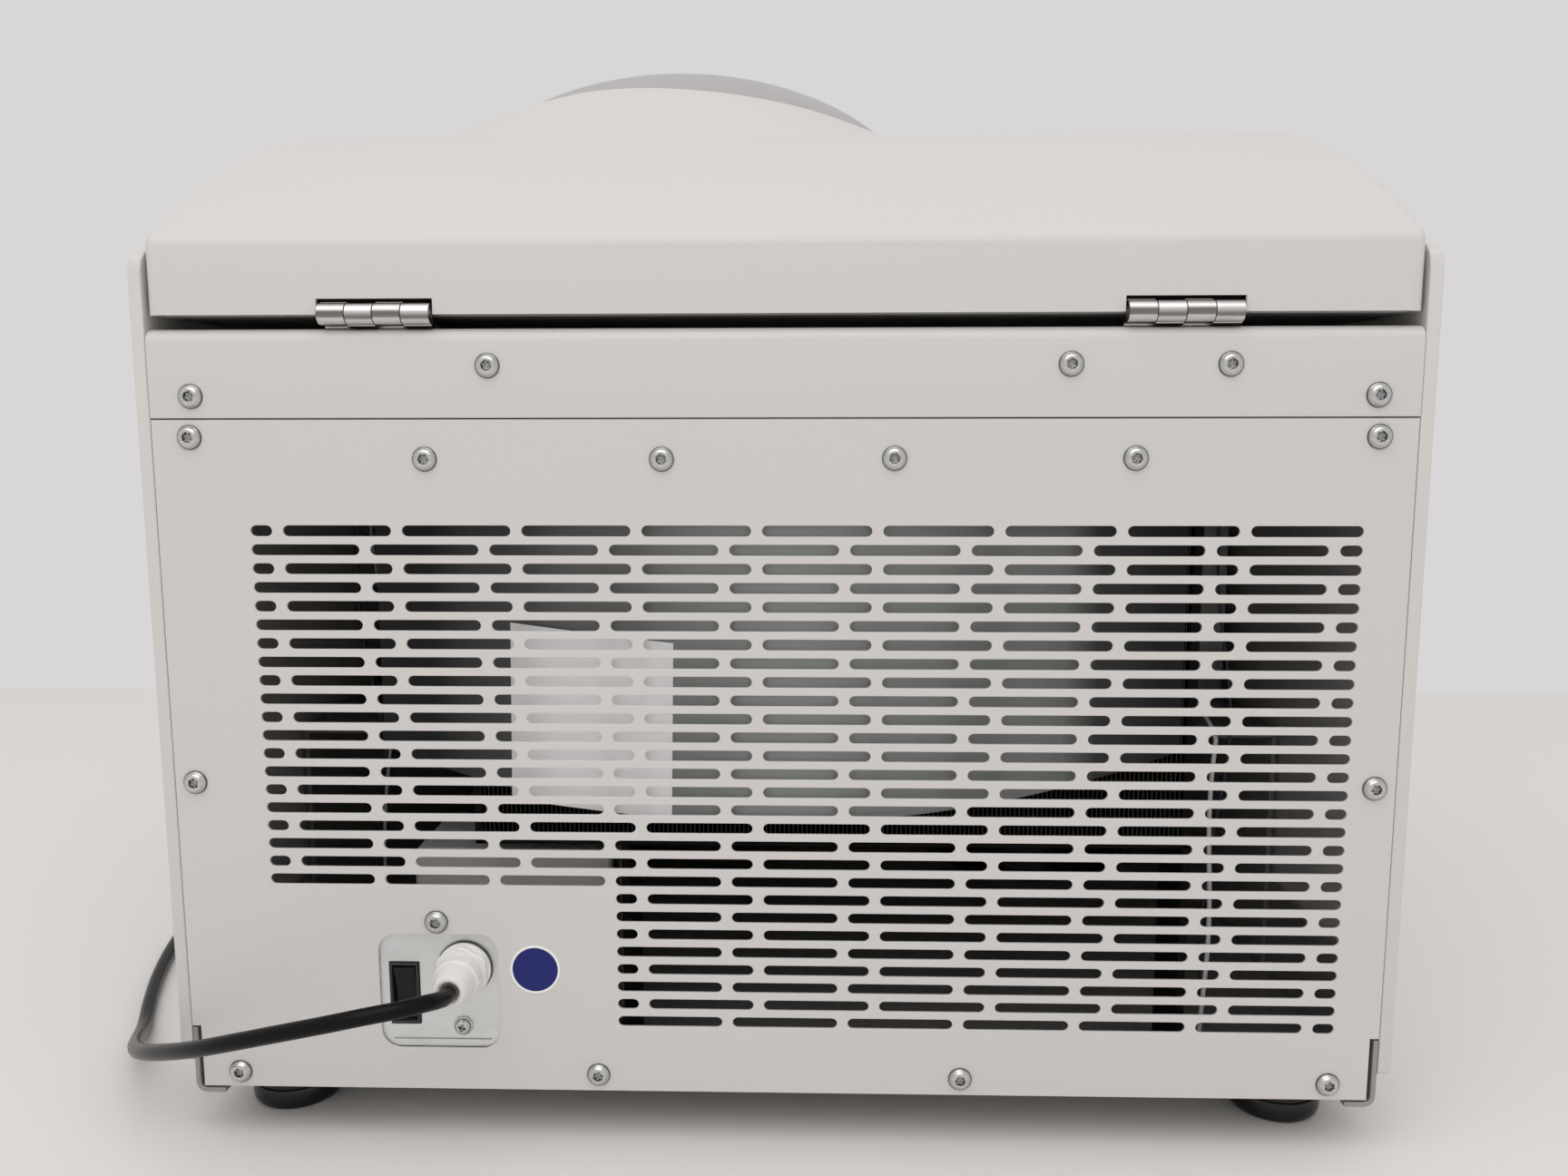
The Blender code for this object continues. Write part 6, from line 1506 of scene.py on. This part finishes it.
new_trim(softened_edges(holder, 0.0003, 2), "case", "grey_steel", SHADE_BLACK)
print(len(FRAME), "bars in the frame")

# %% [markdown]
# ## Jacket, card and wires behind the slots
#
# What shows through the upper slots is a smooth grey jacket, brightest in the middle and lost in the
# dark at both sides, with a lower edge that rises to the sides as the rim of a large drum does. It is
# a sheet bent as a parabola, y = y0 - x^2 / (2 R), that hangs between the condenser and the panel. A
# pale plain card sticks to it, and thin wires run down near both sides.

# %% Jacket
JACKET_Y = 0.3160
JACKET_BEND = 1.0
JACKET_HALF = 0.192
JACKET_LOW = 0.1590
JACKET_SAG = 0.83
JACKET_TOP = 0.308
SHEET_WALL = 0.0006
# Ramps of painted shade towards the sides: way, start, end and share of each.
SIDE_SHADE_RAMPS = [(1, 0.010, 0.125, 0.72), (1, 0.125, 0.165, 0.26), (-1, 0.030, 0.130, 0.25),
         (-1, 0.134, 0.150, 0.60), (-1, 0.150, 0.180, 0.13)]


def on_jacket(x, lift=0.0):
    """The jacket's depth at a place across it."""
    return JACKET_Y + lift - x ** 2 / (2 * JACKET_BEND)


def jacket_finish():
    """Dull zinc with painted shade that darkens it to each side by a sum of ramps, later and faster on
    one, with rub marks.
    """
    finish = Finish("jacket_zinc", metallic=0.1, specular_ior_level=0.4)
    x = finish.axes()[0]
    painted_side_shade = sum(finish.ramp(x * way, start, end) * share for way, start, end, share in SIDE_SHADE_RAMPS)
    marks = finish.noise(1.0, 4.0, finish.stretched((900.0, 60.0, 120.0), (0, 0.6, 0)))
    cloud = finish.noise(22.0, 3.0)
    worn = marks * 0.5 + cloud * 0.5
    bright = finish.colours(worn, (0.245, 0.265, 0.258, 1.0), (0.375, 0.388, 0.378, 1.0))
    finish.bump(marks, 0.00003)
    return finish.paint(finish.colours(painted_side_shade, bright, (0.010, 0.010, 0.012, 1.0)), 0.5 + 0.1 * cloud)


across, up = np.meshgrid(np.linspace(-1, 1, 61) * JACKET_HALF, np.linspace(0, 1, 13), indexing="ij")
rim_z = JACKET_LOW + JACKET_SAG * across ** 2
jacket_face = np.stack([across, on_jacket(across), rim_z + (JACKET_TOP - rim_z) * up], axis=-1)
jacket = closed_pair("drum_jacket", jacket_face, jacket_face - np.array([0, SHEET_WALL, 0]))
new_trim(jacket, "case", "condenser_fins", jacket_finish())
print("jacket", 2 * JACKET_HALF, "m wide")

# %% Card
CARD_LEFT, CARD_WIDTH, CARD_LEAN = 0.0502, 0.0775, 0.0018
CARD_LOW, CARD_TILT = 0.1600, 0.0072
CARD_HEIGHT, CARD_SPREAD = 0.0845, 0.0012
CARD_LIFT, CARD_BOW = 0.0006, 0.0008
CARD_WALL = 0.0003
across, up = np.meshgrid(np.linspace(0, 1, 13), np.linspace(0, 1, 17), indexing="ij")
card_x = CARD_LEFT + CARD_WIDTH * across - CARD_LEAN * up
card_z = CARD_LOW + CARD_TILT * across + (CARD_HEIGHT + CARD_SPREAD * across) * up
bow = CARD_LIFT + CARD_BOW * np.sin(math.pi * across) * (0.4 + 0.6 * up)
card_face = np.stack([card_x, on_jacket(card_x, bow), card_z], axis=-1)
card = closed_pair("blank_card", card_face, card_face - np.array([0, CARD_WALL, 0]))
PAPER = coat("card_paper", (0.93, 0.92, 0.94), 0.7, 1200.0, 0.00003, 0.03, 0.3)
new_trim(card, "case", "pale_plastic", PAPER)
print("card", CARD_WIDTH, "by", CARD_HEIGHT, "m")

# %% [markdown]
# ## Wires
#
# Thin wires never hang quite straight: a slow sine and a quick one bend each of them. The first one
# turns inwards at its top end. Each row gives the place, the sway, the radius, the top, how far the
# top turns inwards, and the colour.

# %% Wires
WIRE_LOW = 0.045
WIRE_POINTS = 60
WIRE_SIDES = 8
WIRES = ((-0.208, 0.300, 0.004, 0.0011, 0.207, 0.050, (0.60, 0.60, 0.60)),
         (0.205, 0.262, 0.026, 0.0008, 0.330, 0.0, (0.30, 0.30, 0.30)),
         (-0.2225, 0.258, 0.030, 0.0008, 0.330, 0.0, (0.05, 0.05, 0.08)),
         (0.2120, 0.258, 0.030, 0.0010, 0.330, 0.0, (0.02, 0.02, 0.02)))
for index, (x, y, sway, radius, top, inwards, colour) in enumerate(WIRES):
    height = np.linspace(WIRE_LOW, top, WIRE_POINTS)
    drift = np.sin(height * (19 + 3 * index)) * sway * 0.16 + np.sin(height * 47 + index) * 0.0014
    turned_in = inwards * np.clip((height - 0.196) / 0.011, 0, 1) ** 2
    path = np.stack([x + drift, y - turned_in, height], axis=1)
    wire = skin(f"thin_wire_{index + 1}", tube_points(path, radius, WIRE_SIDES, (0, 1, 0)),
                tube_faces(WIRE_POINTS, WIRE_SIDES))
    sheath = coat(f"wire_sheath_{index + 1}", colour, 0.4, 1500.0, 0.00002, 0.05)
    new_trim(wire, "case", "black_cable", sheath)
print(len(WIRES), "wires")

# %% [markdown]
# ## Chamber, rotor and buckets
#
# Under the lid lies a spun steel bowl with a flat flange. The rotor's nut and the four hanging
# buckets are turned shapes; each bucket has two ears with a groove that hangs on a trunnion. The
# bowl's section is drawn with its wall, inside and outside, because a wall added afterwards would
# be thinner at the flange's turn.

# %% Bowl
BOWL_RADIUS = 0.1755
BOWL_WALL = 0.0012
BOWL_EYE = 0.033
BOWL_BEND = 0.008
BOWL_STEPS = 160
bowl_low, bowl_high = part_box("chamber_bowl")
flange_out = (bowl_high[0] - bowl_low[0]) / 2
floor_z, under_flange = bowl_low[2] + BOWL_WALL, bowl_high[2] - BOWL_WALL
bowl_profile = rounded(
    [(BOWL_RADIUS, bowl_high[2]), (flange_out, bowl_high[2]), (flange_out, under_flange),
     (BOWL_RADIUS + BOWL_WALL, under_flange), (BOWL_RADIUS + BOWL_WALL, bowl_low[2]),
     (BOWL_EYE, bowl_low[2]), (BOWL_EYE, floor_z), (BOWL_RADIUS, floor_z)],
    [0.0011, 0.0004, 0.0004, 0, BOWL_BEND + BOWL_WALL, 0.0004, 0.0004, BOWL_BEND])
bowl = turned("spun_bowl", bowl_profile.tolist(), (*CHAMBER, 0), UPRIGHT, BOWL_STEPS)
new_part(bowl, "chamber_bowl", finish=SPUN_STEEL)
print("bowl", 2 * BOWL_RADIUS, "m across")

# %% Rotor nut
RIBBED_STEPS = 240
NUT_KNURLS = 30
NUT_SIZE = 0.99
NUT = [(0.0, 0.0, 0), (0.0160, 0.0, 0), (0.0168, 0.0008, 1), (0.0168, 0.0130, 1), (0.0160, 0.0142, 1),
       (0.0146, 0.0150, 0), (0.0140, 0.0176, 0), (0.0130, 0.0180, 0), (0.0060, 0.0180, 0),
       (0.0052, 0.0172, 0), (0.0, 0.0170, 0)]


def ribbed(profile, count, depth):
    """A radius factor for each ring: 1, or 1 + depth tanh(3 cos(count a)) where the row says 1."""
    angle = count * 2 * math.pi * np.arange(RIBBED_STEPS) / RIBBED_STEPS
    wave = 1 + depth * np.tanh(3 * np.cos(angle))
    return np.array([wave if row[2] else np.ones(RIBBED_STEPS) for row in profile])


nut_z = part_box("rotor_nut")[0][2]
nut_factor = ribbed(NUT, NUT_KNURLS, 0.022) * NUT_SIZE
nut_profile = [row[:2] for row in NUT]
nut = turned("rotor_cap_nut", nut_profile, (*CHAMBER, nut_z), UPRIGHT, RIBBED_STEPS, nut_factor)
NUT_STEEL = spun_metal("turned_nut_steel", (0.62, 0.62, 0.62), CHAMBER, 0.24, 2600.0)
new_part(nut, "rotor_nut", finish=NUT_STEEL)
print(NUT_KNURLS, "knurls round the nut")

# %% Buckets with their ears
BUCKET_RADIUS = 0.028
BUCKET_INSIDE = 0.0255
BUCKET_DROP = 0.075
BUCKET_FLOOR = 0.003
BUCKET_RIM = 0.018
EAR_HALF = 0.009
EAR_RISE = 0.010
EAR_DROP = 0.012
EAR_IN, EAR_OUT = 0.0268, 0.0335
BORE = 0.0043
PIVOT_RADIUS = 0.0885
PIVOT_Z = 0.2957
BUCKETS = 4
cup_profile = rounded(
    [(0.0, -BUCKET_DROP), (BUCKET_RADIUS, -BUCKET_DROP), (BUCKET_RADIUS, BUCKET_RIM),
     (BUCKET_INSIDE, BUCKET_RIM), (BUCKET_INSIDE, BUCKET_FLOOR - BUCKET_DROP),
     (0.0, BUCKET_FLOOR - BUCKET_DROP)],
    [0, 0.0030, 0.0010, 0.0010, 0.0030, 0], 6)
ear_outline = rounded(
    [(-EAR_HALF, -EAR_DROP), (-EAR_HALF, EAR_RISE), (EAR_HALF, EAR_RISE), (EAR_HALF, -EAR_DROP),
     (BORE, -EAR_DROP), (BORE, BORE), (-BORE, BORE), (-BORE, -EAR_DROP)],
    [0.001, 0.006, 0.006, 0.001, 0.0005, BORE * 0.98, BORE * 0.98, 0.0005])
ANODISED = drawn_metal("anodised_cup", (0.44, 0.45, 0.47), 0.34, (50.0, 50.0, 2600.0))
for index in range(BUCKETS):
    angle = 2 * math.pi / BUCKETS * index
    c, s = math.cos(angle), math.sin(angle)
    around = np.array([[c, -s, 0], [s, c, 0], [0, 0, 1]])
    pivot = np.array([CHAMBER[0] + PIVOT_RADIUS * c, CHAMBER[1] + PIVOT_RADIUS * s, PIVOT_Z])
    node = f"bucket_{index + 1}"
    cup = turned(f"cup_{index + 1}", cup_profile.tolist(), pivot, around)
    new_part(cup, node, finish=ANODISED)
    for label, way in (("a", -1), ("b", 1)):
        near, far = sorted((way * EAR_IN, way * EAR_OUT))
        to_world = around @ np.array([[1, 0, 0], [0, 0, 1], [0, 1, 0]])
        ear = bar(f"ear_{index + 1}_{label}", ear_outline, near, far, to_world, pivot)
        new_trim(softened_edges(ear, 0.0006, 2, 50), BODY_OF[node], "bucket_metal", ANODISED)
print(BUCKETS, "buckets on a circle of", 2 * PIVOT_RADIUS, "m")

# %% [markdown]
# ## Console
#
# The sloping console has a dark window, three round buttons and a knob. The knob is ribbed for the
# fingers, with a black line that shows where it points. Everything on the console is worked out flat
# first, as a place across it, up it and above it, and one matrix then lays it on the slope.

# %% Places on the console
SLOPE = math.radians(53.59)
CONSOLE_AT = np.array([0, -0.28095, 0.32755])
c, s = math.cos(SLOPE), math.sin(SLOPE)
CONSOLE_TURN = np.array([[1, 0, 0], [0, c, -s], [0, s, c]])


def on_console(u, v=0.0, lift=0.0):
    """A place on the console: its middle plus the turned (u, v, lift)."""
    return CONSOLE_AT + CONSOLE_TURN @ np.array([u, v, lift])


print("console slopes by", round(math.degrees(SLOPE), 2), "degrees")

# %% Buttons with their rims
BUTTON_PLACES = (("start_button", 0.060), ("stop_button", 0.102), ("lid_button", 0.144))
BUTTON = [(0.0, -0.0045), (0.0085, -0.0045), (0.0085, 0.0018), (0.0083, 0.0025), (0.0077, 0.0030),
          (0.0062, 0.0029), (0.0040, 0.0026), (0.0, 0.0025)]
rim = rounded([(0.00955, 0.0001), (0.01150, 0.0001), (0.01120, 0.0011), (0.00975, 0.0011)],
              [0.0001, 0.0003, 0.0004, 0.0004], 4)
for node, u in BUTTON_PLACES:
    new_part(turned(node + "_cap", BUTTON, on_console(u), CONSOLE_TURN), node)
    collar = turned(node + "_rim", rim.tolist(), on_console(u), CONSOLE_TURN)
    new_trim(collar, "case", "soft_grey", FINISH["black_plastic"])
print(len(BUTTON_PLACES), "buttons")

# %% Knob
KNOB_U = 0.010
KNOB_RIBS = 24
KNOB = [(0.0, -0.0045, 0), (0.0035, -0.0045, 0), (0.0035, 0.0006, 0), (0.0158, 0.0006, 0),
        (0.0165, 0.0012, 0), (0.0164, 0.0028, 0), (0.0161, 0.0034, 1), (0.0147, 0.0124, 1),
        (0.0141, 0.0134, 1), (0.0133, 0.0139, 0), (0.0118, 0.0140, 0), (0.0108, 0.0136, 0),
        (0.0, 0.0134, 0)]
knob = turned("ribbed_knob", [row[:2] for row in KNOB], on_console(KNOB_U), CONSOLE_TURN, RIBBED_STEPS,
              ribbed(KNOB, KNOB_RIBS, 0.03))
new_part(knob, "setting_knob")
pointer = boxes("knob_pointer", [(0, 0.0072, 0.0136)], (0.0006, 0.0034, 0.0003))
pointer.data.transform(Matrix.Translation(on_console(KNOB_U)) @ Matrix(CONSOLE_TURN.tolist()).to_4x4())
new_trim(pointer, "knob", "black_plastic")
print(KNOB_RIBS, "ribs round the knob")

# %% Bezel of the window
BEZEL_U = -0.120
BEZEL_LOW, BEZEL_HIGH = 0.0001, 0.0010
bezel_loop = rounded(rectangle((-0.0620, -0.0250), (0.0620, 0.0250)), [0.004] * 4, 6)
bezel_hole = rounded(rectangle((-0.0592, -0.0222), (0.0592, 0.0222)), [0.0025] * 4, 6)
bezel_loops = ((bezel_loop, BEZEL_LOW), (bezel_loop * 0.995, BEZEL_HIGH), (bezel_hole, BEZEL_HIGH),
               (bezel_hole, BEZEL_LOW))
bezel_rows = np.stack([np.column_stack([loop, np.full(len(loop), lift)]) for loop, lift in bezel_loops])
bezel = skin("window_bezel", bezel_rows @ CONSOLE_TURN.T + on_console(BEZEL_U),
             grid_faces(*bezel_rows.shape[:2], True, True))
new_trim(bezel, "case", "soft_grey", FINISH["black_plastic"])
print("bezel of", len(bezel_loop), "points")

# %% [markdown]
# ## Finish
#
# Nodes that were left as they came still get their slot's finish.

# %% Finish
for name, node in frame["nodes"].items():
    if name in SLOT_OF and node.data and not node.hide_render:
        for place in node.material_slots:
            place.material = FINISH[SLOT_OF[name]]
